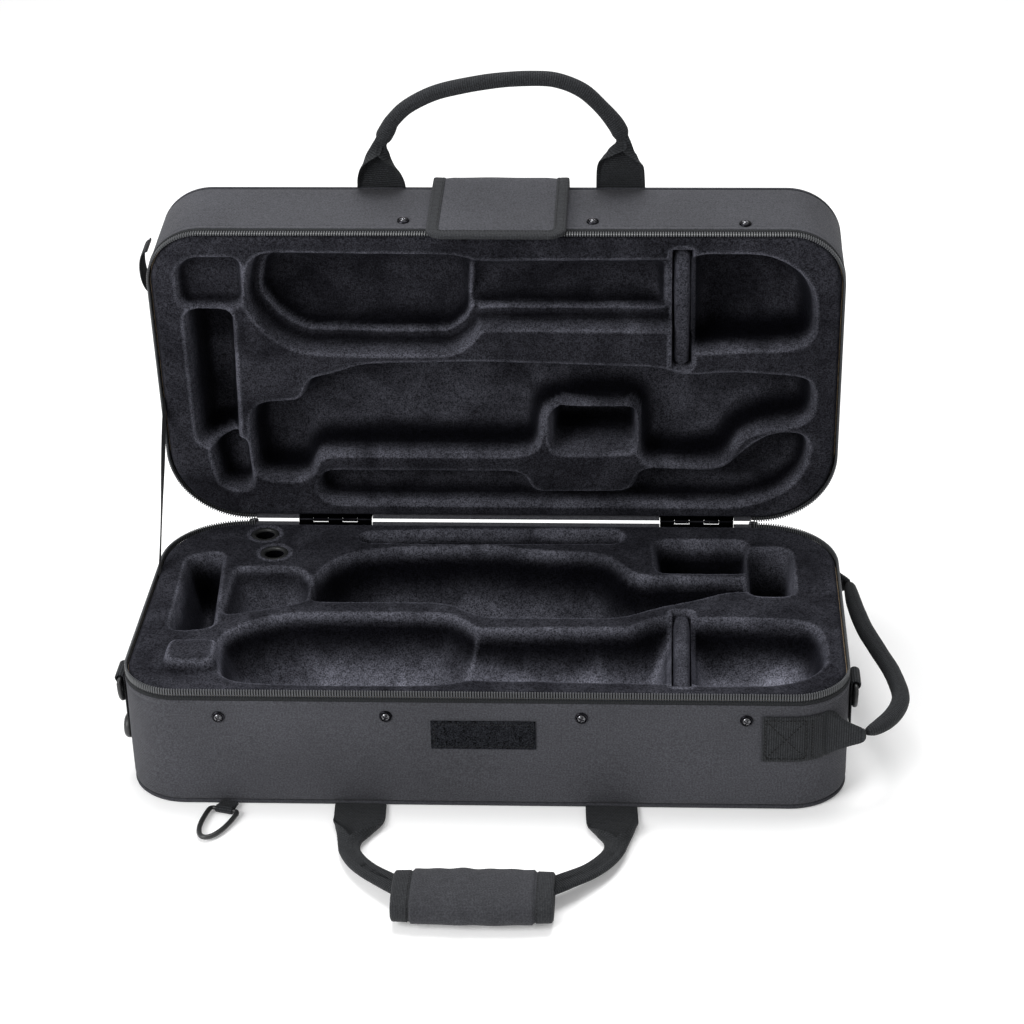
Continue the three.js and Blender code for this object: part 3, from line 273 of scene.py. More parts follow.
def swept(
    path: np.ndarray, side: np.ndarray, up: np.ndarray, across: np.ndarray, lift: np.ndarray
) -> Surface:
    """A body whose section is carried along a path and closed at both ends.

    Args:
        path: places, one row each.
        side: unit vectors across the path.
        up: unit vectors out of it.
        across: how far each section point is to the side, with shape (rows, columns).
        lift: how far it is up, likewise. A row's last point is its first.

    Returns:
        The body.
    """
    return grid(path[:, None] + side[:, None] * across[..., None] + up[:, None] * lift[..., None], caps=True)


def lathe(profile: Rows, steps: int, finish: int = 0) -> Surface:
    """A profile of (radius, height) turned round the third axis. Its ends lie on the axis, or meet.

    Args:
        profile: its stops.
        steps: how many sides it has.
        finish: the surface's finish number.

    Returns:
        The surface.
    """
    radius, height = np.array(profile, float).T[:, :, None]
    angle = around(steps)
    return grid(stacked(radius * np.cos(angle), radius * np.sin(angle), height), finish=finish)


def slab(front: np.ndarray, back: np.ndarray, flat: np.ndarray) -> list[Surface]:
    """A pad: its two faces, and the side round their borders.

    Args:
        front: places of the outer face, with shape (rows, columns, 3).
        back: places of the inner face, likewise.
        flat: where they lie on the cloth in millimetres, with shape (rows, columns, 2).

    Returns:
        The three surfaces.
    """
    borders = [np.concatenate([p[0], p[1:, -1], p[-1, ::-1][1:], p[::-1, 0][1:]]) for p in (front, back)]
    side = np.stack(borders)
    return [grid(front, flat * METRE), grid(back, flat * METRE), grid(side, side[..., [0, 2]] * METRE)]


@dataclass(frozen=True)
class Stitch:
    """A sewing stitch: its pitch, how long it shows and half the thread's thickness, in millimetres."""

    pitch: float = 3.0
    length: float = 2.1
    radius: float = 0.32

    def row(self, path: np.ndarray, out: np.ndarray, finish: int = 1) -> Surface:
        """A row of stitches, each a five-sided spindle with a ring 0.3 of its length to each side.

        Args:
            path: the line that the needle follows.
            out: the direction out of the cloth at each of its points, or one for all.
            finish: the surface's finish number.

        Returns:
            All stitches as one surface.
        """
        along = lengths(path)
        at = np.arange(self.pitch / 2, along[-1], self.pitch)
        lines = (path, directions(path), np.broadcast_to(out, path.shape))
        middle, way, normal = (sampled(values, along, at)[:, None] for values in lines)
        way, normal = unit(way), unit(normal)
        angle = around(5)[:-1, None]
        ring = (np.cross(way, normal) * np.cos(angle) + normal * np.sin(angle)) * self.radius
        tip = way * self.length / 2
        parts = [middle - tip, middle - 0.6 * tip + ring, middle + 0.6 * tip + ring, middle + tip]
        here, after, none, last = np.arange(5), (np.arange(5) + 1) % 5, np.zeros(5, int), np.full(5, 11)
        quads = np.stack([1 + here, 1 + after, 6 + after, 6 + here], -1)
        tips = [none, 1 + after, 1 + here], [last, 6 + here, 6 + after]
        ends = np.vstack([np.stack(tip, -1) for tip in tips])
        offset = np.arange(len(at))[:, None, None] * 12
        return Surface(
            np.concatenate(parts, axis=1).reshape(-1, 3),
            (quads + offset).reshape(-1, 4),
            (ends + offset).reshape(-1, 3),
            np.tile(np.linspace(0, METRE, 12)[:, None], (len(at), 2)),
            finish,
        )


# Finishes


class Slot(Enum):
    """The record's material slots."""

    NYLON = "nylon"
    PLUSH = "plush"
    BOARD = "board"
    WEBBING = "webbing"
    PILE = "loop_pile"
    TEETH = "zip_teeth"
    PLASTIC = "black_plastic"
    NICKEL = "black_nickel"


class Tree:
    """A node tree being wired."""

    def __init__(self, tree: bpy.types.NodeTree) -> None:
        """Takes the tree to wire."""
        self.tree = tree

    def add(self, kind: str, settings: dict[str, object] | None = None, **inputs: object) -> bpy.types.Node:
        """Adds a node.

        Args:
            kind: the node's type, without its first word.
            settings: its properties.
            inputs: values or sockets for its inputs, by name, or by number as n0, n1.

        Returns:
            The node.
        """
        node = self.tree.nodes.new(f"ShaderNode{kind}")
        for key, value in (settings or {}).items():
            setattr(node, key, value)
        for key, value in inputs.items():
            numbered = key[0] == "n" and key[1:].isdigit()
            socket = node.inputs[int(key[1:])] if numbered else node.inputs[key.replace("_", " ")]
            if isinstance(value, Socket):
                self.tree.links.new(value, socket)
            else:
                socket.default_value = value
        return node

    def math(self, operation: str, first: object, second: object = 0.0) -> Socket:
        """A sum, product or other working of one or two numbers."""
        return self.add("Math", {"operation": operation}, n0=first, n1=second).outputs[0]

    def times(self, first: object, second: object) -> Socket:
        """The product of two numbers."""
        return self.math("MULTIPLY", first, second)

    def vector(self, operation: str, **inputs: object) -> Socket:
        """A working of vectors or colours."""
        return self.add("VectorMath", {"operation": operation}, **inputs).outputs[0]

    def wave(self, value: object) -> Socket:
        """A row of round humps, one for each whole number."""
        return self.math("ABSOLUTE", self.math("SINE", self.times(value, math.pi)))

    def mix(self, share: object, first: object, second: object) -> Socket:
        """The first colour turning into the second."""
        return self.add("Mix", {"data_type": "RGBA"}, n0=share, n6=first, n7=second).outputs[2]

    def spread(
        self, value: object, low: float, high: float, to_low: float = 0.0, to_high: float = 1.0
    ) -> Socket:
        """A range of values stretched to another, and held at its ends."""
        return self.add("MapRange", None, n0=value, n1=low, n2=high, n3=to_low, n4=to_high).outputs[0]

    def noise(self, vector: object, scale: float, detail: float = 2.0, distortion: float = 0.0) -> Socket:
        """Cloudy noise, so many waves to the metre."""
        inputs = {"Vector": vector, "Scale": scale, "Detail": detail, "Distortion": distortion}
        return self.add("TexNoise", None, **inputs).outputs[0]

    def place(self, source: str) -> Socket:
        """Texture coordinates: Object or UV."""
        return self.add("TexCoord").outputs[source]

    def crest(self) -> Socket:
        """The mesh's crest attribute, which paints light and shade into the colour."""
        return self.add("Attribute", {"attribute_name": "crest"}).outputs["Fac"]

    def pattern(self, pattern: "Pattern", place: Socket, size: float) -> bpy.types.NodeOutputs:
        """Places a shared pattern at a size in metres, and gives its outputs."""
        return self.add("Group", {"node_tree": pattern.group()}, Vector=place, Size=size).outputs

    def bump(self, height: Socket, distance: float, strength: float, **below: Socket) -> Socket:
        """A bump of a depth in metres, over another if a Normal is given."""
        return self.add("Bump", None, Height=height, Distance=distance, Strength=strength, **below).outputs[0]


class Pattern(Enum):
    """Shader groups that several finishes share."""

    WEAVE = "Plain weave"
    RIBS = "Webbing ribs"
    PILE = "Plush pile"
    HANDLED = "Handled cloth"
    GRAIN = "Moulded grain"

    def group(self) -> bpy.types.NodeTree:
        """The group, built the first time that it is asked for.

        Returns:
            The group.
        """
        made = bpy.data.node_groups.get(self.value)
        if made:
            return made
        group = bpy.data.node_groups.new(self.value, "ShaderNodeTree")
        group.interface.new_socket("Vector", in_out="INPUT", socket_type="NodeSocketVector")
        group.interface.new_socket("Size", in_out="INPUT", socket_type="NodeSocketFloat")
        tree = Tree(group)
        place, size = group.nodes.new("NodeGroupInput").outputs[:2]
        sizes = tree.add("CombineXYZ", None, X=size, Y=size, Z=size).outputs[0]
        results = getattr(self, f"_{self.name.lower()}")(tree, tree.vector("DIVIDE", n0=place, n1=sizes))
        end = group.nodes.new("NodeGroupOutput")
        for name, socket in results.items():
            group.interface.new_socket(name, in_out="OUTPUT", socket_type="NodeSocketFloat")
            group.links.new(socket, end.inputs[name])
        return group

    def _weave(self, tree: Tree, place: Socket) -> dict[str, Socket]:
        """Threads that pass over and under, so that warp and weft show in turn like a chequer.

        Args:
            tree: the group's tree.
            place: the place, in pattern units.

        Returns:
            The group's outputs by name.
        """
        x, y, _ = tree.add("SeparateXYZ", None, n0=place).outputs
        cell = tree.math("ADD", tree.math("FLOOR", x), tree.math("FLOOR", y))
        over = tree.math("GREATER_THAN", tree.math("FRACT", tree.times(cell, 0.5)), 0.25)
        warp, weft = tree.wave(x), tree.wave(y)
        height = tree.math("ADD", warp, tree.times(over, tree.math("SUBTRACT", weft, warp)))
        slub = tree.noise(tree.vector("MULTIPLY", n0=place, n1=(0.35, 0.12, 0.5)), 1.0, 1.0)
        return {"Height": height, "Slub": tree.spread(slub, 0.3, 0.7)}

    def _ribs(self, tree: Tree, place: Socket) -> dict[str, Socket]:
        """Ribs across the length, each broken into short floats that step by half from rib to rib.

        Args:
            tree: the group's tree.
            place: the place, in pattern units.

        Returns:
            The group's outputs by name.
        """
        x, y, _ = tree.add("SeparateXYZ", None, n0=place).outputs
        step = tree.times(tree.math("FLOOR", y), 0.5)
        floats = tree.wave(tree.math("ADD", tree.times(x, 0.8), step))
        height = tree.times(tree.wave(y), tree.spread(floats, 0.0, 1.0, 0.6, 1.0))
        return {"Height": height, "Slub": tree.spread(tree.noise(place, 0.5, 1.0), 0.3, 0.7)}

    def _pile(self, tree: Tree, place: Socket) -> dict[str, Socket]:
        """Short pile: tufts that catch the light or hide from it, and patches where the pile lies over.

        Args:
            tree: the group's tree.
            place: the place, in pattern units.

        Returns:
            The group's outputs by name.
        """
        tuft, clump = tree.noise(place, 1.0, 1.0), tree.noise(place, 0.34, 2.0)
        fleck = tree.math("ADD", tree.times(tuft, 0.7), tree.times(clump, 0.3))
        stroke = tree.noise(place, 0.024, 4.0, 0.8)
        fleck, stroke = (tree.spread(value, 0.36, 0.66) for value in (fleck, stroke))
        return {"Height": tuft, "Fleck": fleck, "Stroke": stroke}

    def _handled(self, tree: Tree, place: Socket) -> dict[str, Socket]:
        """What handling leaves on cloth: soft fading, shallow creases and an uneven grain.

        Args:
            tree: the group's tree.
            place: the place, in pattern units.

        Returns:
            The group's outputs by name.
        """
        fade, crease = tree.noise(place, 9.0, 4.0), tree.noise(place, 45.0, 2.0, 1.5)
        grain = tree.noise(place, 780.0, 1.0)
        return {"Fade": tree.spread(fade, 0.32, 0.7), "Crease": crease, "Grain": tree.spread(grain, 0.3, 0.7)}

    def _grain(self, tree: Tree, place: Socket) -> dict[str, Socket]:
        """The fine skin of a moulding, with places worn by rubbing."""
        skin, rub = tree.noise(place, 1.0, 2.0), tree.noise(place, 0.04, 3.0)
        return {"Height": skin, "Rub": tree.spread(rub, 0.42, 0.66)}


@dataclass(frozen=True)
class Finish:
    """A finish: its name, the record's slot that it belongs to (not used), and its lowest and highest colour.
    """

    name: str
    slot: Slot
    dark: Colour
    light: Colour

    def material(self) -> bpy.types.Material:
        """The finish as a material, built the first time that it is asked for.

        Returns:
            The material.
        """
        made = bpy.data.materials.get(self.name)
        if made:
            return made
        made = bpy.data.materials.new(self.name)
        made.use_nodes = True
        made.diffuse_color = self.light
        made.node_tree.nodes.clear()
        tree = Tree(made.node_tree)
        shader = tree.add("BsdfPrincipled", None, **self.surface(tree))
        tree.add("OutputMaterial", None, Surface=shader.outputs[0])
        return made

    def surface(self, tree: Tree) -> dict[str, object]:
        """The principled shader's inputs, for each kind of finish to give."""
        raise NotImplementedError


@dataclass(frozen=True)
class Cloth(Finish):
    """A woven cloth whose threads follow the piece.

    Its colour goes from the gaps between the threads, in painted shade, to their tops, with slubs, soft
    fading and grain, and with painted highlights where its crest attribute says.
    """

    thread: Pattern = Pattern.WEAVE
    pitch: float = 0.001
    depth: float = 0.00025
    roughness: float = 0.85
    sheen: float = 0.12
    faded: float = 0.35

    def surface(self, tree: Tree) -> dict[str, object]:
        """A rough surface with a bump of threads over one of creases.

        Args:
            tree: the material's tree.

        Returns:
            The shader's inputs by name.
        """
        threads = tree.pattern(self.thread, tree.place("UV"), self.pitch)
        handled = tree.pattern(Pattern.HANDLED, tree.place("Object"), 1.0)
        pale = tuple(min(1.0, 1.45 * c) for c in self.light[:3]) + (1.0,)
        # Darker in the gaps between the threads: painted shade.
        colour = tree.mix(tree.times(threads["Height"], 0.8), self.dark, self.light)
        # Slubs and fading are the cloth's own; the crest attribute adds painted highlights.
        for socket, share in ((threads["Slub"], 0.12), (handled["Fade"], self.faded), (tree.crest(), 0.5)):
            colour = tree.mix(tree.times(socket, share), colour, pale)
        creases = tree.bump(handled["Crease"], 0.0012, 0.25)
        grain = tree.spread(handled["Grain"], 0.0, 1.0, 0.7, 1.3)
        return {
            "Base_Color": tree.vector("SCALE", n0=colour, Scale=grain),
            "Roughness": tree.spread(handled["Fade"], 0.0, 1.0, self.roughness - 0.08, self.roughness + 0.06),
            "Normal": tree.bump(threads["Height"], self.depth, 0.6, Normal=creases),
            "Sheen_Weight": self.sheen,
            "Sheen_Roughness": 0.5,
            "Specular_IOR_Level": 0.12,
        }


@dataclass(frozen=True)
class Pile(Finish):
    """A pile cloth with painted shade on its steep walls and painted light where its crest attribute says.

    Single tufts go from a small share of that colour to far above it, as painted glints of the fibres.
    """

    tuft: float = 0.0011
    depth: float = 0.0007
    sheen: float = 0.06
    low: float = 0.42
    high: float = 2.1

    def surface(self, tree: Tree) -> dict[str, object]:
        """A very rough surface with a little sheen.

        Args:
            tree: the material's tree.

        Returns:
            The shader's inputs by name.
        """
        pile = tree.pattern(Pattern.PILE, tree.place("Object"), self.tuft)
        cloudy = tree.spread(pile["Stroke"], 0.0, 1.0, 0.45, 1.1)
        # Painted light and shade from the crest attribute, mottled where the pile lies over.
        colour = tree.mix(tree.times(tree.crest(), cloudy), self.dark, self.light)
        # Single tufts scale the colour up and down: painted glints of the fibres.
        flecks = tree.spread(pile["Fleck"], 0.0, 1.0, self.low, self.high)
        return {
            "Base_Color": tree.vector("SCALE", n0=colour, Scale=flecks),
            "Roughness": 0.95,
            "Normal": tree.bump(pile["Height"], self.depth, 0.7),
            "Sheen_Weight": self.sheen,
            "Sheen_Roughness": 0.35,
            "Sheen_Tint": (0.75, 0.77, 1.0, 1.0),
            "Specular_IOR_Level": 0.02,
        }


@dataclass(frozen=True)
class Moulded(Finish):
    """A moulded plastic or a metal, with a fine grain, places worn by rubbing and painted highlights."""

    roughness: float = 0.4
    metallic: float = 0.0
    grain: float = 0.0008
    depth: float = 0.00004
    rubbed: float = 0.5

    def surface(self, tree: Tree) -> dict[str, object]:
        """A satin surface whose worn places and painted highlights are lighter and smoother.

        Args:
            tree: the material's tree.

        Returns:
            The shader's inputs by name.
        """
        skin = tree.pattern(Pattern.GRAIN, tree.place("Object"), self.grain)
        # Worn places from the rub noise, and painted highlights from the crest attribute.
        rubbed = tree.math("MAXIMUM", tree.times(skin["Rub"], self.rubbed), tree.crest())
        return {
            "Base_Color": tree.mix(rubbed, self.dark, self.light),
            "Roughness": tree.spread(rubbed, 0.0, 1.0, self.roughness + 0.06, self.roughness - 0.08),
            "Metallic": self.metallic,
            "Normal": tree.bump(skin["Height"], self.depth, 0.5),
        }


@dataclass(frozen=True)
class Board(Finish):
    """Raw fibre board: pale and dark fibres that run along it."""

    def surface(self, tree: Tree) -> dict[str, object]:
        """A matt surface with drawn-out noise for fibres.

        Args:
            tree: the material's tree.

        Returns:
            The shader's inputs by name.
        """
        place = tree.add("Mapping", None, Vector=tree.place("Object"), Scale=(0.15, 1.0, 1.0)).outputs[0]
        fibre = tree.noise(place, 260.0, 5.0)
        colour = tree.mix(tree.spread(fibre, 0.35, 0.65), self.dark, self.light)
        return {"Base_Color": colour, "Roughness": 0.9, "Normal": tree.bump(fibre, 0.0003, 0.5)}


@dataclass(frozen=True)
class Sweep(Finish):
    """The pale studio floor, with the faintest unevenness."""

    glow: float = 0.2

    def surface(self, tree: Tree) -> dict[str, object]:
        """A matt surface, a little lit of itself so that it stays pale to its edges.

        Args:
            tree: the material's tree.

        Returns:
            The shader's inputs by name.
        """
        colour = tree.mix(tree.noise(tree.place("Object"), 1.5, 3.0), self.dark, self.light)
        lit = {"Emission_Color": colour, "Emission_Strength": self.glow}
        return {"Base_Color": colour, "Roughness": 0.75, "Specular_IOR_Level": 0.2, **lit}


def ribbed(
    name: str, dark: Colour, light: Colour, pitch: float, depth: float, faded: float = 0.2, **more: float
) -> Cloth:
    """A ribbed webbing or tape."""
    return Cloth(name, Slot.WEBBING, dark, light, Pattern.RIBS, pitch, depth, faded=faded, **more)


NYLON = Cloth(
    "cover_nylon", Slot.NYLON, (0.016, 0.016, 0.019, 1), (0.056, 0.057, 0.065, 1), pitch=0.0011, sheen=0.06
)
WRAP = Cloth(
    "grip_nylon", Slot.NYLON, (0.012, 0.012, 0.014, 1), (0.044, 0.045, 0.051, 1), pitch=0.0011, sheen=0.06
)
CORD = Cloth(
    "welt_cloth", Slot.WEBBING, (0.013, 0.013, 0.016, 1), (0.048, 0.049, 0.056, 1),
    pitch=0.0009, sheen=0.05, faded=0.25,
)
WEBBING = ribbed(
    "handle_webbing", (0.0020, 0.0022, 0.0026, 1), (0.029, 0.031, 0.034, 1), 0.0018, 0.0008,
    roughness=0.72, sheen=0.03,
)
TAPE = ribbed(
    "zip_tape_cloth", (0.0045, 0.005, 0.0055, 1), (0.022, 0.0235, 0.0255, 1), 0.0013, 0.0004, sheen=0.03
)
BINDING = ribbed(
    "binding_tape", (0.0085, 0.009, 0.010, 1), (0.035, 0.0365, 0.040, 1), 0.0012, 0.0004, sheen=0.04
)
RIBBON = ribbed("stay_ribbon_cloth", (0.005, 0.005, 0.006, 1), (0.020, 0.021, 0.023, 1), 0.0009, 0.0002)
THREAD = ribbed(
    "sewing_thread", (0.002, 0.002, 0.0026, 1), (0.008, 0.0083, 0.009, 1), 0.0004, 0.0001, faded=0.0
)
PLUSH = Pile("navy_plush", Slot.PLUSH, (0.0008, 0.0008, 0.0014, 1), (0.130, 0.132, 0.160, 1))
LOOPS = Pile(
    "closure_pile", Slot.PILE, (0.0075, 0.008, 0.0095, 1), (0.021, 0.022, 0.026, 1),
    sheen=0.03, low=0.05, high=3.2,
)
TEETH = Moulded("zip_nylon", Slot.TEETH, (0.004, 0.0045, 0.005, 1), (0.125, 0.130, 0.138, 1), rubbed=0.05)
PLASTIC = Moulded("black_moulding", Slot.PLASTIC, (0.010, 0.0105, 0.011, 1), (0.034, 0.035, 0.036, 1), 0.42)
NICKEL = Moulded("black_nickel_plate", Slot.NICKEL, (0.03, 0.03, 0.034, 1), (0.16, 0.16, 0.17, 1), 0.22, 1.0)
CUP = Moulded("blackened_cup", Slot.NICKEL, (0.008, 0.008, 0.010, 1), (0.06, 0.06, 0.07, 1), 0.25, 1.0)
BOARD = Board("raw_board", Slot.BOARD, (0.20, 0.14, 0.085, 1), (0.36, 0.27, 0.17, 1))
FLOOR = Sweep("studio_floor", Slot.NYLON, (0.86, 0.86, 0.86, 1), (0.90, 0.90, 0.90, 1))


# Pieces


def mesh_of(name: str, surfaces: list[Surface], crease: float) -> bpy.types.Mesh:
    """Puts surfaces into one mesh.

    Double points are merged, faces are turned out and edges sharper than the crease angle stay sharp.

    Args:
        name: the mesh's name.
        surfaces: its surfaces.
        crease: the angle in degrees from which an edge is sharp.

    Returns:
        The mesh.
    """
    starts = np.cumsum([0] + [len(s.points) for s in surfaces])
    quads, triangles = (
        [faces for s, start in zip(surfaces, starts) for faces in (getattr(s, kind) + start).tolist()]
        for kind in ("quads", "triangles")
    )
    counts = [len(s.quads) for s in surfaces] + [len(s.triangles) for s in surfaces]
    which = np.repeat([s.finish for s in surfaces] * 2, counts)
    uv = np.vstack([s.uv for s in surfaces])
    crest = np.concatenate([np.zeros(len(s.points)) if s.crest is None else s.crest for s in surfaces])
    mesh = bpy.data.meshes.new(name)
    mesh.from_pydata((np.vstack([s.points for s in surfaces]) * METRE).tolist(), [], quads + triangles)
    corners = np.empty(len(mesh.loops), np.int32)
    mesh.loops.foreach_get("vertex_index", corners)
    mesh.uv_layers.new(name="Cloth").data.foreach_set("uv", uv[corners].astype(np.float32).ravel())
    mesh.attributes.new("crest", "FLOAT", "POINT").data.foreach_set("value", crest.astype(np.float32))
    mesh.polygons.foreach_set("material_index", which.astype(np.int32))
    work = bmesh.new()
    work.from_mesh(mesh)
    bmesh.ops.remove_doubles(work, verts=work.verts, dist=MERGE_WITHIN)
    bmesh.ops.dissolve_degenerate(work, edges=work.edges, dist=NO_LENGTH)
    bmesh.ops.recalc_face_normals(work, faces=work.faces)
    work.to_mesh(mesh)
    work.free()
    mesh.polygons.foreach_set("use_smooth", np.ones(len(mesh.polygons), bool))
    mesh.set_sharp_from_angle(angle=math.radians(crease))
    return mesh


def make_piece(
    name: str, surfaces: list[Surface], finishes: list[Finish], body: str, node: str, crease: float = 55.0
) -> bpy.types.Object:
    """Makes a piece that stands for a CAD node.

    Args:
        name: the piece's name.
        surfaces: its surfaces.
        finishes: its finishes, in the surfaces' finish numbers.
        body: the CAD body that carries it, or nothing for a piece that spans two and is attached to neither.
        node: the CAD node.
        crease: the angle in degrees from which an edge is sharp.

    Returns:
        The object.
    """
    mesh = mesh_of(name, surfaces, crease)
    for finish in finishes:
        mesh.materials.append(finish.material())
    piece = bpy.data.objects.new(name, mesh)
    bpy.context.scene.collection.objects.link(piece)
    if body:
        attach(piece, body)
    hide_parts(node)
    log.info("%s: %d faces on %s", name, len(mesh.polygons), body or "two bodies")
    return piece


@dataclass(frozen=True)
class Half:
    """One half of the case, in millimetres, with its corner radii at the front and at the hinges."""

    name: str
    height: float
    width: float = 560.0
    depth: float = 272.0
    front_radius: float = 46.0
    rear_radius: float = 66.0
    open_degrees: float = 84.5
    hinge_line: float = 2.0
    base_height: float = 102.0

    def world(self, places: np.ndarray) -> np.ndarray:
        """Places (x, s, h) in the row frame.

        The base keeps x, its y is half the depth less s, and its z is h. The lid's s and the rest of its
        height are turned by the opening angle about the hinge line.

        Args:
            places: any array of places, the last axis (x, s, h).

        Returns:
            The same array in the row frame.
        """
        x, s, h = np.moveaxis(np.asarray(places, float), -1, 0)
        if self.name == "base":
            return np.stack([x, self.depth / 2 - s, h], -1)
        turn = math.radians(self.open_degrees)
        rise = self.height + self.hinge_line - h
        y = self.depth / 2 - s * math.cos(turn) + rise * math.sin(turn)
        z = self.base_height + self.hinge_line + s * math.sin(turn) + rise * math.cos(turn)
        return np.stack([x, y, z], -1)

    def way(self, step: np.ndarray) -> np.ndarray:
        """The direction of a step (x, s, h) in the row frame."""
        return unit(self.world(step) - self.world(np.zeros(3)))

    def placed(self, surface: Surface) -> Surface:
        """A surface given in (x, s, h), in the row frame."""
        return replace(surface, points=self.world(surface.points))

    def piece(
        self, name: str, surfaces: list[Surface], finishes: list[Finish], node: str, crease: float = 55.0
    ) -> bpy.types.Object:
        """A piece on this half, with the half's name before its own and its node's."""
        names = f"{self.name}_{name}", f"{self.name}_{node}"
        return make_piece(names[0], surfaces, finishes, self.name, names[1], crease)


BASE = Half("base", 102.0)
LID = Half("lid", 82.0)


@dataclass(frozen=True)
class Rim:
    """The rounded outline of a half, from the middle of its hinge side round by the left end and back.

    Each station has a place (x, s), the direction out of the wall and its distance along. Zip ends and hinge
    edges have two stations each, a gap apart.
    """

    half: Half
    step: float = 8.0
    corner_steps: int = 24
    zip_end: float = 210.0
    hinges: tuple[Pair, ...] = ((-173.3, -110.7), (132.7, 195.3))
    gap: float = 0.08

    def straight(self, start: Pair, end: Pair, normal: Pair) -> tuple[np.ndarray, np.ndarray]:
        """Stations from one place to another, less the first.

        Args:
            start: where it starts, (x, s).
            end: where it ends.
            normal: the direction out of the wall.

        Returns:
            The places and the directions.
        """
        a, b = np.array(start), np.array(end)
        share = np.linspace(0, 1, max(2, int(np.linalg.norm(b - a) / self.step)))
        if normal[1] < 0:
            edges = (-self.zip_end, self.zip_end, *np.ravel(self.hinges))
            marks = np.array([edge + side for edge in edges for side in (-self.gap / 2, self.gap / 2)])
            at = (marks - a[0]) / (b[0] - a[0])
            share = np.sort(np.concatenate([share, at[(at > 0) & (at < 1)]]))
        places = a + (b - a) * share[1:, None]
        return places, np.broadcast_to(normal, places.shape)

    def corner(self, middle: Pair, radius: float, start: float) -> tuple[np.ndarray, np.ndarray]:
        """Stations a quarter round a middle, clockwise, less the first.

        Args:
            middle: the arc's middle, (x, s).
            radius: its radius.
            start: the angle that it starts at, in degrees.

        Returns:
            The places and the directions.
        """
        angle = np.radians(start - np.linspace(0, 90, self.corner_steps + 1)[1:])
        normal = np.stack([np.cos(angle), np.sin(angle)], -1)
        return np.array(middle) + radius * normal, normal

    def stations(self) -> tuple[np.ndarray, np.ndarray, np.ndarray]:
        """The places, the outward directions and the distances.

        Returns:
            The three arrays.
        """
        w, d, f, r = self.half.width / 2, self.half.depth, self.half.front_radius, self.half.rear_radius
        parts = [
            (np.array([[0.0, 0.0]]), np.array([[0.0, -1.0]])),
            self.straight((0, 0), (r - w, 0), (0, -1)),
            self.corner((r - w, r), r, -90),
            self.straight((-w, r), (-w, d - f), (-1, 0)),
            self.corner((f - w, d - f), f, 180),
            self.straight((f - w, d), (w - f, d), (0, 1)),
            self.corner((w - f, d - f), f, 90),
            self.straight((w, d - f), (w, r), (1, 0)),
            self.corner((w - r, r), r, 0),
            self.straight((w - r, 0), (0, 0), (0, -1)),
        ]
        places, normals = (np.vstack(values) for values in zip(*parts))
        return places, normals, lengths(places)

    def swept(
        self, inset: np.ndarray, height: np.ndarray, keep: np.ndarray | None = None, finish: int = 0
    ) -> Surface:
        """A section carried round the outline.

        Args:
            inset: how far in from the wall each section point is, (columns) or (stations, columns).
            height: its height in the half, likewise.
            keep: the stations that it runs over, all if None.
            finish: the surface's finish number.

        Returns:
            The closed body, in the row frame.
        """
        places, normals, along = self.stations()
        inset, height = (np.broadcast_to(v, (len(places), np.shape(v)[-1])) for v in (inset, height))
        flat = places[:, None] - normals[:, None] * inset[..., None]
        points = np.concatenate([flat, height[..., None]], -1)
        u = lengths(np.stack([inset, height], -1)[len(places) // 2])
        uv = stacked(u[None, :], along[:, None]) * METRE
        if keep is not None:
            points, uv = points[keep], uv[keep]
        return self.half.placed(grid(points, uv, keep is not None, finish))

    def on_rear(self) -> np.ndarray:
        """Which stations are on the hinge side between the zip's ends."""
        places, normals, _ = self.stations()
        return (normals[:, 1] < -0.999) & (np.abs(places[:, 0]) < self.zip_end)

    def at_hinge(self) -> np.ndarray:
        """Which stations are at a hinge."""
        x = self.stations()[0][:, 0]
        return self.on_rear() & np.any([(x > a) & (x < b) for a, b in self.hinges], axis=0)

    def line(self, inset: float, height: float, keep: np.ndarray) -> tuple[np.ndarray, np.ndarray]:
        """A line round the wall in the row frame.

        Args:
            inset: how far in from the wall it is.
            height: its height in the half.
            keep: the stations that it runs over.

        Returns:
            Its places, and the direction out of the wall at each.
        """
        places, normals, _ = self.stations()
        flat, normals = (places - normals * inset)[keep], normals[keep]
        points, outer = (self.half.world(stacked(*f.T, height)) for f in (flat, flat + normals))
        return points, outer - points


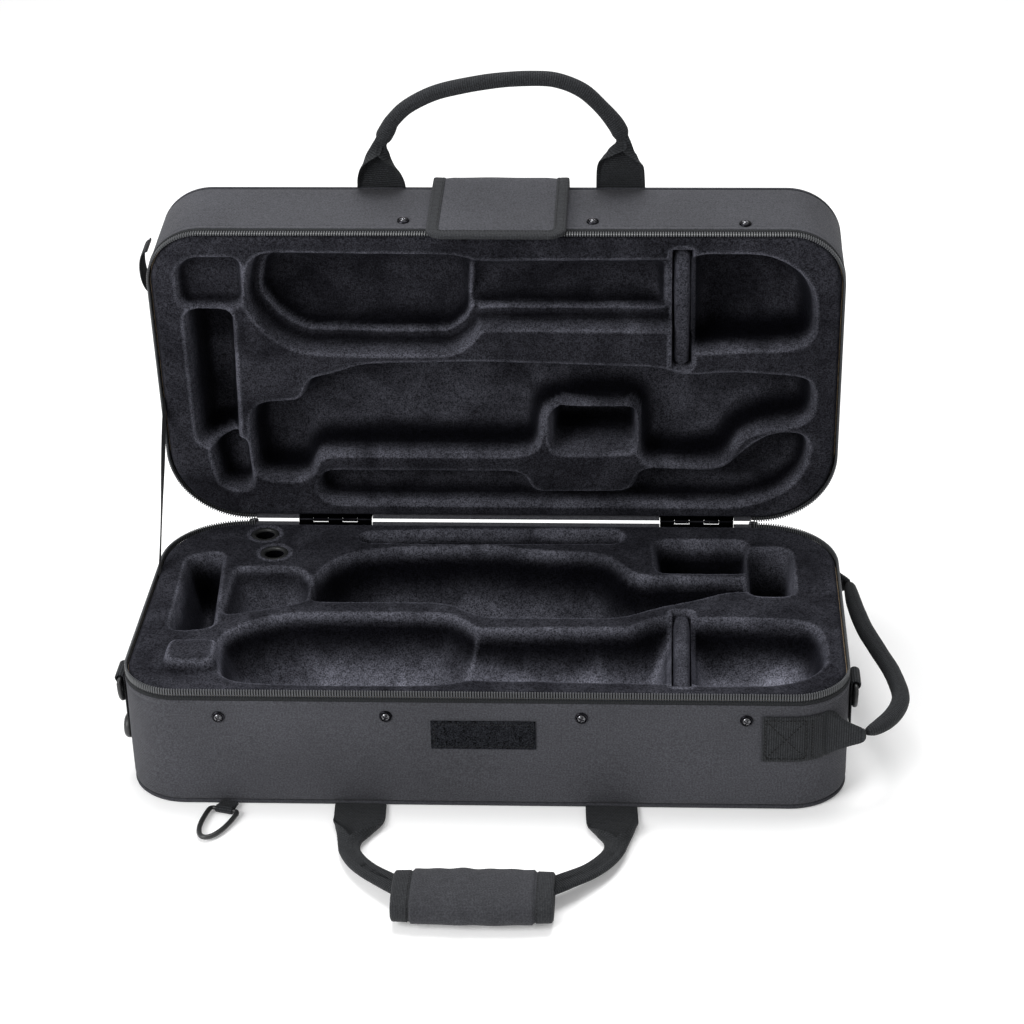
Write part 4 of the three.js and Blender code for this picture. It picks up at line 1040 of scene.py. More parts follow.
@dataclass(frozen=True)
class Covering:
    """A half's nylon: the band round its walls, its outer panel and the welt in the seam between them."""

    half: Half
    panel: str
    seed: int = 3
    pillow: float = 0.0
    foot: float = 3.75
    thickness: float = 1.7
    zip_room: float = 9.7
    rear_room: float = 0.6
    hinge_room: float = 5.3
    turned_in: Rows = ((1.25, 0.0), (0.6, 0.7), (0.2, 2.2), (0.0, 5.0))
    hem: Rows = (
        (0.0, -3.0), (0.22, -2.3), (0.24, -1.9), (-0.1, -1.4), (-0.3, -0.6), (-0.42, 0.6), (-0.4, 1.7),
        (-0.22, 2.2), (-0.05, 2.0), (0.0, 0.1), (0.8, -0.1), (1.5, -0.9), (1.7, -2.5),
    )
    welt_radius: float = 1.7
    pillow_shares: tuple[float, ...] = (
        1.0, 0.994, 0.985, 0.97, 0.94, 0.9, 0.84, 0.76, 0.66, 0.55, 0.43, 0.3, 0.16, 0.0
    )

    def wall(self) -> None:
        """The band: up the outside, over a pressed seam to a hem over the zip's tape, and down inside."""
        rim, top_level = Rim(self.half), self.half.height
        rear = rim.on_rear()
        top = np.where(rear, top_level - self.rear_room, top_level - self.zip_room)
        top[rim.at_hinge()] = top_level - self.hinge_room
        low, high, rise = np.array(self.turned_in), np.array(self.hem), np.linspace(0, 1, 16)[1:-1]
        face, hem = slice(len(low), len(low) + len(rise)), slice(-len(high) - 2, -2)
        inset, height = np.zeros((2, len(top), len(low) + len(rise) + len(high) + 2))
        inset[:, : len(low)], height[:, : len(low)] = low[:, 0], self.foot + low[:, 1]
        start, end = self.foot + low[-1, 1], top + high[0, 1]
        height[:, face] = start + (end - start)[:, None] * rise
        lap = np.where(rear, 0.25, 1.0)[:, None]
        inset[:, hem] = high[:, 0]
        height[:, hem] = top[:, None] + high[:, 1] * np.where(high[:, 1] > 0, lap, 1.0)
        inset[:, -2:], height[:, -2:] = (self.thickness, low[0, 0]), (self.foot + 0.4, self.foot)
        unevenness = soft_noise(inset.shape, (26, 1.6), self.seed)
        unevenness[-1] = unevenness[0]
        inset[:, face] -= 0.32 * unevenness[:, face] * np.sin(np.linspace(0, math.pi, len(rise) + 2))[1:-1]
        self.half.piece("nylon_wall", [rim.swept(inset, height)], [NYLON], "side_cover", 50)

    def outer_panel(self) -> None:
        """The panel: the outline shrunk ring by ring to its middle, with a soft pillow, and flat inside."""
        places, normals, _ = Rim(self.half).stations()
        middle = np.array([0.0, self.half.depth / 2])
        share = np.array(self.pillow_shares)
        flat = middle + (places - normals * self.foot - middle) * share[:, None, None]
        rise = np.interp(share, [0, 0.9, 0.97, 0.985, 0.994, 1.0], [0, 0, 0.05, 0.25, 0.8, 1.9])
        x, s = flat[..., 0], flat[..., 1]
        soft = np.sin(x / 47 + 1.3) * np.sin(s / 39 + 0.4) + np.sin(x / 23 - s / 31)
        swell = self.pillow * (1 - share**2.5)[:, None]
        bulge = swell + 0.88 * self.pillow * soft * ((1 - share) * share)[:, None]
        outer = stacked(x, s, rise[:, None] - bulge)
        inner = stacked(x, s, self.foot - 0.4)[::-1]
        points = np.concatenate([outer[::-1], inner[::-1]])
        surface = self.half.placed(grid(points, points[..., :2] * METRE))
        self.half.piece("nylon_panel", [surface], [NYLON], self.panel)

    def build(self) -> None:
        """The band, the panel and the welt, which is a cloth-covered cord carried round the seam."""
        self.wall()
        self.outer_panel()
        angle, cord = around(12), self.welt_radius - 0.02
        inset, height = self.welt_radius + cord * np.cos(angle), self.welt_radius + cord * np.sin(angle)
        self.half.piece("welt", [Rim(self.half).swept(inset, height)], [CORD], "piping")


@dataclass(frozen=True)
class Zip:
    """Half of the zip: its tape and its teeth.

    A tooth is a block of five four-sided rings: half width, near side, far side and height over the rim.
    """

    half: Half
    pitch: float = 2.05
    tooth: Rows = (
        (0.42, 0.0, 1.4, -3.65), (0.46, -0.12, 1.75, -2.6), (0.46, -0.12, 1.78, 0.2),
        (0.56, -0.05, 1.88, 1.1), (0.34, 0.35, 1.5, 1.78),
    )
    # Painted highlights of each ring of a tooth, least at its foot.
    tooth_light: tuple[float, ...] = (0.2, 0.6, 0.5, 0.45, 0.6)

    def tape(self, rim: Rim, run: np.ndarray) -> None:
        """A ribbed tape with a rounded edge, and two rows of stitches along it.

        Args:
            rim: the half's outline.
            run: the stations that it runs over.
        """
        top = self.half.height
        inset = np.array([0.35, 0.1, 0.02, 0.02, 0.12, 0.45, 1.55, 1.66, 1.66, 0.35])
        height = top - np.array([9.35, 9.1, 8.2, 5.2, 4.45, 4.1, 4.1, 4.6, 9.3, 9.35])
        rows = [Stitch(2.6, 1.8, 0.22).row(*rim.line(-0.05, top - level, run)) for level in (8.5, 5.0)]
        self.half.piece("zip_cloth", [rim.swept(inset, height, run), *rows], [TAPE, THREAD], "zip_tape")

    def teeth(self, rim: Rim, run: np.ndarray) -> None:
        """The teeth: blocks waisted at the foot and broad at the head, on a cord that holds them.

        Args:
            rim: the half's outline.
            run: the stations that they run over.
        """
        places, normals, along = rim.stations()
        at = np.arange(along[run][0] + 1.2, along[run][-1] - 0.8, self.pitch)
        place, normal = sampled(places, along, at), unit(sampled(normals, along, at))
        way = np.stack([normal[:, 1], -normal[:, 0]], -1)
        reach, near, far, level = np.array(self.tooth).T[:, :, None]
        sides = np.array([[-1, 0], [1, 0], [1, 1], [-1, 1]])
        depth = np.where(sides[:, 1] == 0, near, far)
        step = (reach * sides[:, 0])[..., None]
        flat = place[:, None, None] + way[:, None, None] * step - normal[:, None, None] * depth[..., None]
        points = stacked(flat[..., 0], flat[..., 1], self.half.height + level).reshape(-1, 3)
        ring, corner = np.meshgrid(np.arange(4), np.arange(4), indexing="ij")
        first, after = ring * 4 + corner, ring * 4 + (corner + 1) % 4
        quads = np.stack([first, after, after + 4, first + 4], -1).reshape(-1, 4)
        quads = np.vstack([quads, [[3, 2, 1, 0], [16, 17, 18, 19]]]) + np.arange(len(at))[:, None, None] * 20
        # Painted glints on the teeth, ring by ring.
        crest = np.tile(np.repeat(self.tooth_light, 4), len(at))
        teeth = Surface(points, quads.reshape(-1, 4), NO_TRIANGLES, points[:, [0, 2]] * METRE, 0, crest)
        angle = around(8)
        inset, height = 1.08 + 0.5 * np.cos(angle), self.half.height - 1.4 + 1.9 * np.sin(angle)
        cord = rim.swept(inset, height, run, finish=1)
        self.half.piece("zip_row", [self.half.placed(teeth), cord], [TEETH, THREAD], "zip_teeth", 35)

    def build(self) -> None:
        """Tape and teeth, all round but for the stretch between the zip's ends."""
        rim = Rim(self.half)
        self.tape(rim, ~rim.on_rear())
        self.teeth(rim, ~rim.on_rear())


# Plush inserts


@dataclass(frozen=True)
class Hollow:
    """A hollow of an insert.

    Args:
        depth: how deep it goes, as a share of the half's height.
        slope: how far inside the outline its wall rounds off into the floor, in millimetres.
        outline: its outline, in shares of the width and of the depth.
        ledge: the share of the depth at which a ridge runs round inside the wall, 0 for none.
    """

    depth: float
    slope: float
    outline: Rows
    ledge: float = 0.0

    def sunk(self, inside: np.ndarray, height: float) -> np.ndarray:
        """How far the hollow goes down at each distance inside its outline.

        With a ledge the first share of the depth falls at once, a low rounded ridge follows 10 mm in, and
        the rest falls behind it.

        Args:
            inside: the distances, in millimetres.
            height: the half's height.

        Returns:
            The depths.
        """
        if not self.ledge:
            return self.depth * height * falls(inside / self.slope, 2.6)
        first, rest = falls(inside / 7.0, 2.6), falls((inside - 10.0) / self.slope, 2.6)
        ridge = 2.4 * bell((inside - 10.0) / 2.6)
        return self.depth * height * (self.ledge * first + (1 - self.ledge) * rest) - ridge


BASE_HOLLOWS = (
    Hollow(0.62, 48, (
        (-0.376, 0.69), (-0.343, 0.62), (-0.304, 0.578), (-0.263, 0.566), (-0.164, 0.563), (-0.065, 0.563),
        (-0.045, 0.59), (-0.022, 0.645), (-0.01, 0.66), (-0.01, 0.905), (-0.044, 0.935), (-0.094, 0.946),
        (-0.212, 0.949), (-0.321, 0.94), (-0.349, 0.925), (-0.366, 0.88),
    )),
    Hollow(0.5, 36, (
        (-0.06, 0.655), (0.2, 0.636), (0.228, 0.585), (0.262, 0.565), (0.262, 0.925), (-0.06, 0.912),
    )),
    Hollow(0.46, 28, (
        (0.277, 0.58), (0.338, 0.575), (0.44, 0.59), (0.462, 0.63), (0.469, 0.8), (0.445, 0.885),
        (0.4, 0.93), (0.277, 0.935),
    )),
    Hollow(0.58, 40, (
        (-0.272, 0.485), (-0.06, 0.485), (-0.015, 0.57), (0.185, 0.565), (0.235, 0.5), (0.29, 0.46),
        (0.33, 0.41), (0.4, 0.4), (0.4, 0.34), (0.2, 0.335), (0.16, 0.2), (0.04, 0.18), (0.0, 0.155),
        (-0.146, 0.168), (-0.2, 0.188), (-0.228, 0.22), (-0.25, 0.28), (-0.262, 0.35),
    )),
    Hollow(0.4, 46, (
        (-0.385, 0.57), (-0.31, 0.52), (-0.268, 0.485), (-0.268, 0.38), (-0.29, 0.29), (-0.385, 0.29),
    )),
    Hollow(0.26, 12, (
        (-0.21, 0.075), (-0.1, 0.055), (0.18, 0.045), (0.18, 0.118), (-0.1, 0.128), (-0.21, 0.122),
    )),
    Hollow(0.82, 10, (
        (0.371, 0.16), (0.426, 0.16), (0.428, 0.43), (0.37, 0.43),
    )),
    Hollow(0.5, 22, (
        (0.232, 0.11), (0.365, 0.11), (0.365, 0.3), (0.236, 0.3),
    )),
    Hollow(0.6, 22, (
        (-0.458, 0.23), (-0.412, 0.2), (-0.395, 0.64), (-0.45, 0.66),
    )),
)
LID_HOLLOWS = (
    Hollow(0.64, 26, (
        (-0.362, 0.77), (-0.343, 0.7), (-0.319, 0.645), (-0.284, 0.603), (-0.188, 0.598), (-0.072, 0.598),
        (-0.051, 0.618), (-0.023, 0.68), (-0.012, 0.885), (-0.05, 0.92), (-0.345, 0.925),
    ), 0.46),
    Hollow(0.52, 20, (
        (-0.06, 0.682), (0.026, 0.688), (0.26, 0.684), (0.26, 0.905), (-0.06, 0.9),
    ), 0.5),
    Hollow(0.56, 22, (
        (0.276, 0.6), (0.343, 0.616), (0.437, 0.623), (0.458, 0.665), (0.455, 0.8), (0.432, 0.875),
        (0.39, 0.924), (0.276, 0.925),
    )),
    Hollow(0.2, 9, (
        (-0.456, 0.75), (-0.366, 0.755), (-0.364, 0.912), (-0.435, 0.912), (-0.456, 0.88),
    )),
    Hollow(0.64, 13, (
        (-0.448, 0.27), (-0.392, 0.27), (-0.384, 0.735), (-0.448, 0.735),
    )),
    Hollow(0.4, 11, (
        (-0.432, 0.26), (-0.42, 0.115), (-0.376, 0.108), (-0.38, 0.295),
    )),
    Hollow(0.54, 20, (
        (-0.366, 0.145), (-0.289, 0.145), (-0.278, 0.21), (-0.264, 0.24), (0.034, 0.24), (0.056, 0.266),
        (0.06, 0.382), (0.084, 0.406), (0.186, 0.414), (0.205, 0.395), (0.208, 0.205), (0.315, 0.205),
        (0.336, 0.23), (0.352, 0.302), (0.388, 0.341), (0.458, 0.361), (0.46, 0.477), (0.447, 0.512),
        (0.339, 0.528), (0.27, 0.512), (0.239, 0.542), (-0.025, 0.56), (-0.2, 0.55), (-0.244, 0.513),
        (-0.277, 0.5), (-0.283, 0.455), (-0.293, 0.419), (-0.355, 0.416), (-0.368, 0.364),
    )),
    Hollow(0.74, 9, (
        (0.078, 0.25), (0.2, 0.254), (0.2, 0.396), (0.078, 0.394),
    )),
    Hollow(0.36, 14, (
        (-0.272, 0.06), (0.36, 0.06), (0.42, 0.11), (0.452, 0.2), (0.456, 0.315), (0.4, 0.315),
        (0.362, 0.25), (0.33, 0.175), (0.205, 0.185), (0.2, 0.1), (0.043, 0.094), (0.036, 0.17),
        (-0.275, 0.17),
    )),
)
MOUTH_HOLES = {"rear": (-199.024, 22.032), "front": (-187.04, 54.128)}


def distance_in(points: np.ndarray, outline: np.ndarray) -> np.ndarray:
    """How far each point is inside a closed outline, negative outside.

    The distance is the least to any of its edges. A point is inside where a ray to one side crosses the
    outline an odd number of times.

    Args:
        points: places, one row each.
        outline: the outline's corners.

    Returns:
        The distances.
    """
    after = np.roll(outline, -1, axis=0)
    edge, reach = after - outline, points[:, None] - outline
    share = np.clip((reach * edge).sum(-1) / (edge**2).sum(-1), 0, 1)
    nearest = np.linalg.norm(reach - edge * share[..., None], axis=-1).min(axis=1)
    x, y = points[:, :1], points[:, 1:]
    between = (outline[:, 1] > y) != (after[:, 1] > y)
    run = np.where(np.abs(edge[:, 1]) < 1e-9, 1e-9, edge[:, 1])
    left = x < edge[:, 0] * (y - outline[:, 1]) / run + outline[:, 0]
    inside = (between & left).sum(axis=1) % 2 == 1
    return np.where(inside, nearest, -nearest)


def rounded(outline: np.ndarray, reach: float, steps: int = 4) -> np.ndarray:
    """A closed outline with rounded corners.

    Each corner gives way to the quadratic curve between two places on its edges, which are the reach from it,
    or 0.45 of the edge if that is less.

    Args:
        outline: its corners.
        reach: how far a curve reaches, in millimetres.
        steps: how many places on each curve.

    Returns:
        The places of the rounded outline.
    """
    ends = []
    for shift in (1, -1):
        edge = np.roll(outline, shift, axis=0) - outline
        ends.append(outline + edge * np.minimum(0.45, reach / np.linalg.norm(edge, axis=-1, keepdims=True)))
    t = np.linspace(0, 1, steps)[:, None, None]
    curve = (1 - t) ** 2 * ends[0] + 2 * t * (1 - t) * outline + t**2 * ends[1]
    return curve.transpose(1, 0, 2).reshape(-1, 2)


def inside_field(flat: np.ndarray, outline: np.ndarray, reach: float, away: float = WELL_AWAY) -> np.ndarray:
    """How far each place of a grid is inside a rounded outline, softened.

    Args:
        flat: the grid's places.
        outline: the outline's corners.
        reach: how far its corners are rounded.
        away: how far outside counts as well away.

    Returns:
        The distances, less than nothing outside and never under the value for well away.
    """
    outline, points = rounded(outline, reach), flat.reshape(-1, 2)
    near = np.all((points > outline.min(axis=0) - away) & (points < outline.max(axis=0) + away), axis=1)
    inside = np.full(len(points), -away)
    inside[near] = distance_in(points[near], outline)
    return blurred(inside.reshape(flat.shape[:2]), 1.5)


@dataclass(frozen=True)
class Insert:
    """A moulded foam insert under plush: one height over the tray, with its hollows, flange and skirt.

    Args:
        half: the half that it lines.
        hollows: its hollows.
        divider: the bar's place across, its start and end from the hinge side, and its foot's height.
        seed: the seed of its unevenness.
        holes: the places of the round holes.
        seams: lines pressed into it.
        pads: outlines that stand up, with a height each.
        flange_light: how much painted light the pile of the flange has.
        floor_light: the same for floors near the hinge and far from it.
    """

    half: Half
    hollows: tuple[Hollow, ...]
    divider: tuple[float, float, float, float]
    seed: int = 11
    holes: tuple[Pair, ...] = ()
    seams: tuple[Rows, ...] = ()
    pads: tuple[tuple[float, Rows], ...] = ()
    flange_light: float = 0.15
    floor_light: Pair = (0.5, 1.0)
    cell: float = 1.42
    inset: float = 3.0
    wall_inset: float = 7.35
    floor: float = 9.3
    lip: float = 1.3
    bar_top: float = 2.0
    bar_half: float = 6.35
    slot_half: float = 7.0
    hole_depth: float = 57.0
    hole_reach: float = 11.2
    # The painted light of the skirt and underside.
    skirt_light: float = 0.18

    def layout(self) -> np.ndarray:
        """The grid's places (x, s).

        Returns:
            The places with shape (rows, columns, 2).
        """
        w, d = self.half.width, self.half.depth
        x = np.linspace(self.inset - w / 2, w / 2 - self.inset, int(w / self.cell))
        s = np.linspace(self.inset, d - self.inset, int(d / self.cell))
        return np.stack(np.meshgrid(x, s), -1)

    def corner(self, flat: np.ndarray) -> tuple[np.ndarray, np.ndarray, np.ndarray]:
        """The nearest rounded corner of the flange's outline for each place.

        Args:
            flat: the grid's places.

        Returns:
            The middle and the radius of the corner's arc, and whether the place is in a corner.
        """
        half, front = self.half, flat[..., 1] > self.half.depth / 2
        radius = np.where(front, half.front_radius, half.rear_radius)
        side = np.sign(flat[..., 0])
        along = np.where(front, half.depth - radius, radius)
        middle = np.stack([side * (half.width / 2 - radius), along], -1)
        over = flat - middle
        beyond = (side * over[..., 0] > 0) & (np.sign(flat[..., 1] - half.depth / 2) * over[..., 1] > 0)
        return middle, radius - self.inset, beyond

    def edge_distance(self, flat: np.ndarray) -> tuple[np.ndarray, np.ndarray]:
        """How far inside the flange's outline each place is, and the unit direction inwards.

        Args:
            flat: places in any array.

        Returns:
            The distances and the directions.
        """
        middle, radius, beyond = self.corner(flat)
        w, d = self.half.width / 2 - self.inset, self.half.depth - self.inset
        gaps = np.stack([flat[..., 0] + w, w - flat[..., 0], flat[..., 1] - self.inset, d - flat[..., 1]], -1)
        inward = np.array([X, -X, Y, -Y])[gaps.argmin(-1)][..., :2]
        out = flat - middle
        distance = np.where(beyond, radius - np.linalg.norm(out, axis=-1), gaps.min(-1))
        return distance, np.where(beyond[..., None], -unit(out), inward)

    def heights(self, flat: np.ndarray) -> tuple[np.ndarray, np.ndarray]:
        """The insert's height over the tray, and how far each place is inside any of its hollows or pads.

        Of the hollows the deepest counts, and their lips are softened. A pad stands up on a soft step. The
        divider's slot and the round holes are cut in, seams are pressed in, and the flange's edge rolls off.

        Args:
            flat: the grid's places.

        Returns:
            The heights and the distances.
        """
        shape, half = flat.shape[:2], self.half
        x, s = flat[..., 0], flat[..., 1]
        sunk, raised, within = np.zeros(shape), np.zeros(shape), np.full(shape, -WELL_AWAY)
        for hollow in self.hollows:
            outline = np.array(hollow.outline) * (half.width, half.depth)
            inside = inside_field(flat, outline, 8.0 if len(outline) < 8 else 15.0)
            within = np.maximum(within, inside)
            sunk = np.maximum(sunk, hollow.sunk(inside + self.lip, half.height))
        sunk = blurred(sunk, 0.9)
        sunk += 0.55 * soft_noise(shape, (7, 13), self.seed) * rises(sunk / 12)
        sunk += 0.16 * soft_noise(shape, (34, 66), self.seed + 1)
        for seam in self.seams:
            near = np.linalg.norm(flat[:, :, None] - flat_spline(seam, 60), axis=-1).min(axis=-1)
            sunk += 0.9 * bell(near / 1.1)
        middle, start, end, foot = self.divider
        slot = np.minimum(self.slot_half - np.abs(x - middle), np.minimum(s - start + 0.6, end + 0.6 - s))
        sunk = np.maximum(sunk, (half.height - foot + 1.0) * rises(slot / 1.5 + 0.5))
        for across, along in self.holes:
            near = np.hypot(x - across, s - along)
            sunk = np.maximum(sunk, (self.hole_depth + 4.0) * rises((self.hole_reach - near) / 1.5))
        roll = 2.3 * np.clip(1 - self.edge_distance(flat)[0] / 3.4, 0, 1) ** 2
        for rise, outline in self.pads:
            inside = inside_field(flat, np.array(outline), 7.0)
            within = np.maximum(within, inside - 3.0)
            raised = np.maximum(raised, rise * falls((inside + 0.5) / 5.0, 3))
        return half.height - 0.1 - np.maximum(sunk, roll) + blurred(raised, 0.8), within

    def standing(self, flat: np.ndarray, height: np.ndarray, within: np.ndarray) -> np.ndarray:
        """How much painted light the pile has, from 0 to 1, with painted shade where it is low.

        It is least on steep walls, as painted shade. It is more on lips, by a bell curve round the hollows'
        outlines, and on ridges, which stand above the softened height, as painted highlights. The flange and
        the floors near the hinge and far from it each have a painted light of their own.

        Args:
            flat: the grid's places.
            height: its heights.
            within: how far inside a hollow each place is.

        Returns:
            The shares.
        """
        down, over = np.gradient(height, flat[1, 0, 1] - flat[0, 0, 1], flat[0, 1, 0] - flat[0, 0, 0])
        # Steep walls get painted shade.
        level = 1 - 0.98 * rises((np.hypot(down, over) - 0.9) / 1.9)
        ridge = rises((blurred(height, 0.7) - blurred(height, 1.5) - 0.2) / 0.9)
        # Lips and ridges get painted highlights.
        lip = np.maximum(bell((within + 0.9) / 1.6), 0.8 * ridge)
        deep = rises((self.half.height - 4.0 - height) / 18.0)
        near, far = self.floor_light
        floor = near + (far - near) * rises((flat[..., 1] - 0.52 * self.half.depth) / 12.0)
        # The flange and the floors get painted light levels of their own.
        lit = self.flange_light + (floor - self.flange_light) * deep
        return np.clip(blurred(level * lit, 1.0) + 0.42 * lip, 0, 1)

    def surface(self) -> Surface:
        """The insert as one closed surface: the height field, its skirt and its underside.

        Returns:
            The surface in places (x, s, h).
        """
        flat, top = self.layout(), self.half.height
        height, within = self.heights(flat)
        crest = self.standing(flat, height, within)
        middle, radius, beyond = self.corner(flat)
        out = flat - middle
        outside = beyond & (np.linalg.norm(out, axis=-1) > radius)
        flat = np.where(outside[..., None], middle + unit(out) * radius[..., None], flat)
        height = np.where(outside, top - 2.4, height)
        index = np.arange(outside.size).reshape(outside.shape)
        quads = np.stack([index[:-1, :-1], index[:-1, 1:], index[1:, 1:], index[1:, :-1]], -1).reshape(-1, 4)
        quads = quads[~outside.ravel()[quads].all(axis=1)]
        used, quads = np.unique(quads, return_inverse=True)
        quads, count = quads.reshape(-1, 4), len(used)
        flat, height, crest = flat.reshape(-1, 2)[used], height.ravel()[used], crest.ravel()[used]
        start, end = quads.ravel(), np.roll(quads, -1, axis=1).ravel()
        lone = ~np.isin(start * count + end, end * count + start)
        rim, local = np.unique(np.concatenate([start[lone], end[lone]]), return_inverse=True)
        here, after = np.split(local, 2)
        _, inward = self.edge_distance(flat[rim])
        skirt = self.wall_inset - self.inset
        points, faces, previous = [np.column_stack([flat, height])], [quads], rim
        rings = (0, top - 2.9), (0, top - 4.5), (skirt, top - 4.7), (skirt, self.floor)
        for k, (step, level) in enumerate(rings):
            points.append(np.column_stack([flat[rim] + inward * step, np.full(len(rim), level)]))
            current = count + k * len(rim) + np.arange(len(rim))
            faces.append(np.stack([previous[after], previous[here], current[here], current[after]], -1))
            previous = current
        centre = np.full(len(here), current[-1] + 1)
        points.append([[0.0, self.half.depth / 2, self.floor]])
        triangles = np.stack([previous[after], previous[here], centre], -1)
        places = np.vstack(points)
        # The skirt and underside get one level of painted light.
        crest = np.concatenate([crest, np.full(len(places) - count, self.skirt_light)])
        return Surface(places, np.vstack(faces), triangles, places[:, :2] * METRE, 0, crest)

    def lined_hole(self, hole: Pair) -> Surface:
        """The plush tube of a mouthpiece hole: a thin wall turned round its middle, closed below.

        Args:
            hole: the hole's place (x, s).

        Returns:
            The surface in places (x, s, h).
        """
        top, deep = self.half.height - 2.8, self.half.height - 2.8 - self.hole_depth
        inner = ((0, deep), (6.5, deep), (8.1, deep + 2), (8.3, top))
        outer = ((9.9, top), (9.9, deep - 0.6), (0, deep - 0.6))
        return lathe(inner + outer, 32).moved((*hole, 0), X, Y, Z)

    def bar(self) -> Surface:
        """The divider: a rounded slab whose section narrows to a soft rounded top, closed by domed ends.

        Returns:
            The surface in places (x, s, h).
        """
        middle, start, end, foot = self.divider
        top = self.half.height - self.bar_top
        share, angle = np.linspace(-1, 1, 41)[:, None], around(32)
        reach = (1 - np.abs(share) ** 9) ** (1 / 5)
        wide = self.bar_half * (1 + 0.05 * soft_noise((41, 1), (3, 1), self.seed + 5))
        x = middle + wide * (0.55 + 0.45 * reach) * squared(np.cos(angle), 0.45)
        s = (start + end) / 2 + share * (end - start) / 2 * 0.996
        h = (foot + top) / 2 + (top - foot) / 2 * (0.93 + 0.07 * reach) * squared(np.sin(angle), 0.28)
        surface = grid(stacked(x, s, h), caps=True)
        # Painted light, rising towards the bar's top.
        surface.crest = np.append((0.06 + 0.2 * rises((h - top + 7) / 6)).ravel(), [0.08, 0.08])
        return surface

    def build(self) -> None:
        """The insert and its divider, as pieces."""
        lining = [self.surface(), *(self.lined_hole(hole) for hole in self.holes)]
        pieces = ("plush_insert", lining, "insert"), ("plush_bar", [self.bar()], "divider")
        for name, surfaces, node in pieces:
            piece = self.half.piece(name, [self.half.placed(s) for s in surfaces], [PLUSH], node, 80)


# Small fittings


@dataclass(frozen=True)
class MouthRings:
    """The lined rings in the base's two mouthpiece holes, each a rounded section turned round its hole."""

    profile: Rows = (
        (8.0, 99.4), (12.0, 99.4), (12.0, 100.5), (11.6, 101.3), (10.6, 101.75), (9.3, 101.7), (8.3, 101.3),
        (8.0, 100.7), (8.0, 99.4),
    )

    def build(self) -> None:
        """Both rings."""
        for end, hole in MOUTH_HOLES.items():
            ring = BASE.placed(lathe(self.profile, 40).moved((*hole, 0), X, Y, Z))
            make_piece(f"mouth_ring_{end}", [ring], [PLASTIC], "base", f"mouthpiece_ring_{end}", 60)


@dataclass(frozen=True)
class Screws:
    """Cross-head screws with cup washers in a half's front wall, at places (x, h)."""

    half: Half
    places: tuple[Pair, ...]
    head: Rows = (
        (0, 3.1), (0.35, 3.09), (0.7, 3.05), (1.05, 3.0), (1.4, 2.92), (1.75, 2.8), (2.1, 2.66),
        (2.45, 2.46), (2.8, 2.2), (3.1, 1.85), (3.3, 1.45), (3.3, 1.1), (2.9, 0.95), (1.5, 0.9),
        (1.5, -5.9), (0.9, -6.2), (0, -6.2),
    )
    head_rings: int = 10
    cup: Rows = (
        (1.7, 0.32), (4.9, 0.32), (5.0, 0.5), (4.85, 0.95), (4.4, 1.42), (3.95, 1.5), (3.6, 1.2),
        (3.4, 0.9), (1.7, 0.85), (1.7, 0.32),
    )

    def bolt(self) -> Surface:
        """Head and shank: a dome over polar rings, less a cross of two soft bars, then the shank.

        Returns:
            The surface, turned round the third axis.
        """
        radius, out = np.array(self.head).T[:, :, None]
        angle = around(40)
        turned = angle + 0.4
        a, b = radius * np.cos(turned), radius * np.sin(turned)
        ways = (a, b), (b, a)
        bars = [rises((0.62 - np.abs(p)) / 0.3) * rises((2.35 - np.abs(q)) / 0.3) for p, q in ways]
        on_head = np.arange(len(radius))[:, None] < self.head_rings
        cross = np.maximum(*bars) * on_head
        surface = grid(stacked(radius * np.cos(angle), radius * np.sin(angle), out - 0.95 * cross))
        # Painted highlight on the head, none in the cross or on the shank.
        surface.crest = (0.8 * (1 - cross) * on_head).ravel()
        return surface

    def build(self) -> None:
        """Every screw, as one piece for its node, with its washer."""
        for number, (x, h) in enumerate(self.places, 1):
            parts = (self.bolt(), lathe(self.cup, 32, finish=1))
            placed = [self.half.placed(part.moved((x, self.half.depth, h), X, Z, Y)) for part in parts]
            self.half.piece(f"cross_screw_{number}", placed, [NICKEL, CUP], f"screw_{number}", 45)


@dataclass(frozen=True)
class LoopPatch:
    """The loop half of the closure on the base's front wall."""

    width: float = 80.0
    low: float = 53.5
    high: float = 78.5
    hem: float = 2.6

    def build(self) -> None:
        """A pad whose pile stands up unevenly and thins at its sewn edge."""
        reach = self.width / 2
        across, up = np.meshgrid(np.linspace(-reach, reach, 134), np.linspace(self.low, self.high, 43))
        edge = np.minimum(reach - np.abs(across), np.minimum(up - self.low, self.high - up))
        fuzz = 0.16 * np.random.default_rng(5).uniform(-1, 1, across.shape)
        pile = 1.7 - 0.75 * (1 - rises(edge / 1.6)) - 0.35 * bell((edge - self.hem) / 0.7) + fuzz
        front, back = (stacked(across, BASE.depth + out, up) for out in (pile, 0.3))
        w, low, high = reach - self.hem, self.low + self.hem, self.high - self.hem
        corners = np.array([(-w, low), (w, low), (w, high), (-w, high), (-w, low)])
        row = Stitch(2.6, 1.8).row(BASE.world(stacked(corners[:, 0], BASE.depth + 1.55, corners[:, 1])), -Y)
        pad = [BASE.placed(face) for face in slab(front, back, stacked(across, up))]
        make_piece("closure_loop_pad", [*pad, row], [LOOPS, THREAD], "base", "loop_patch", 70)


# Webbing


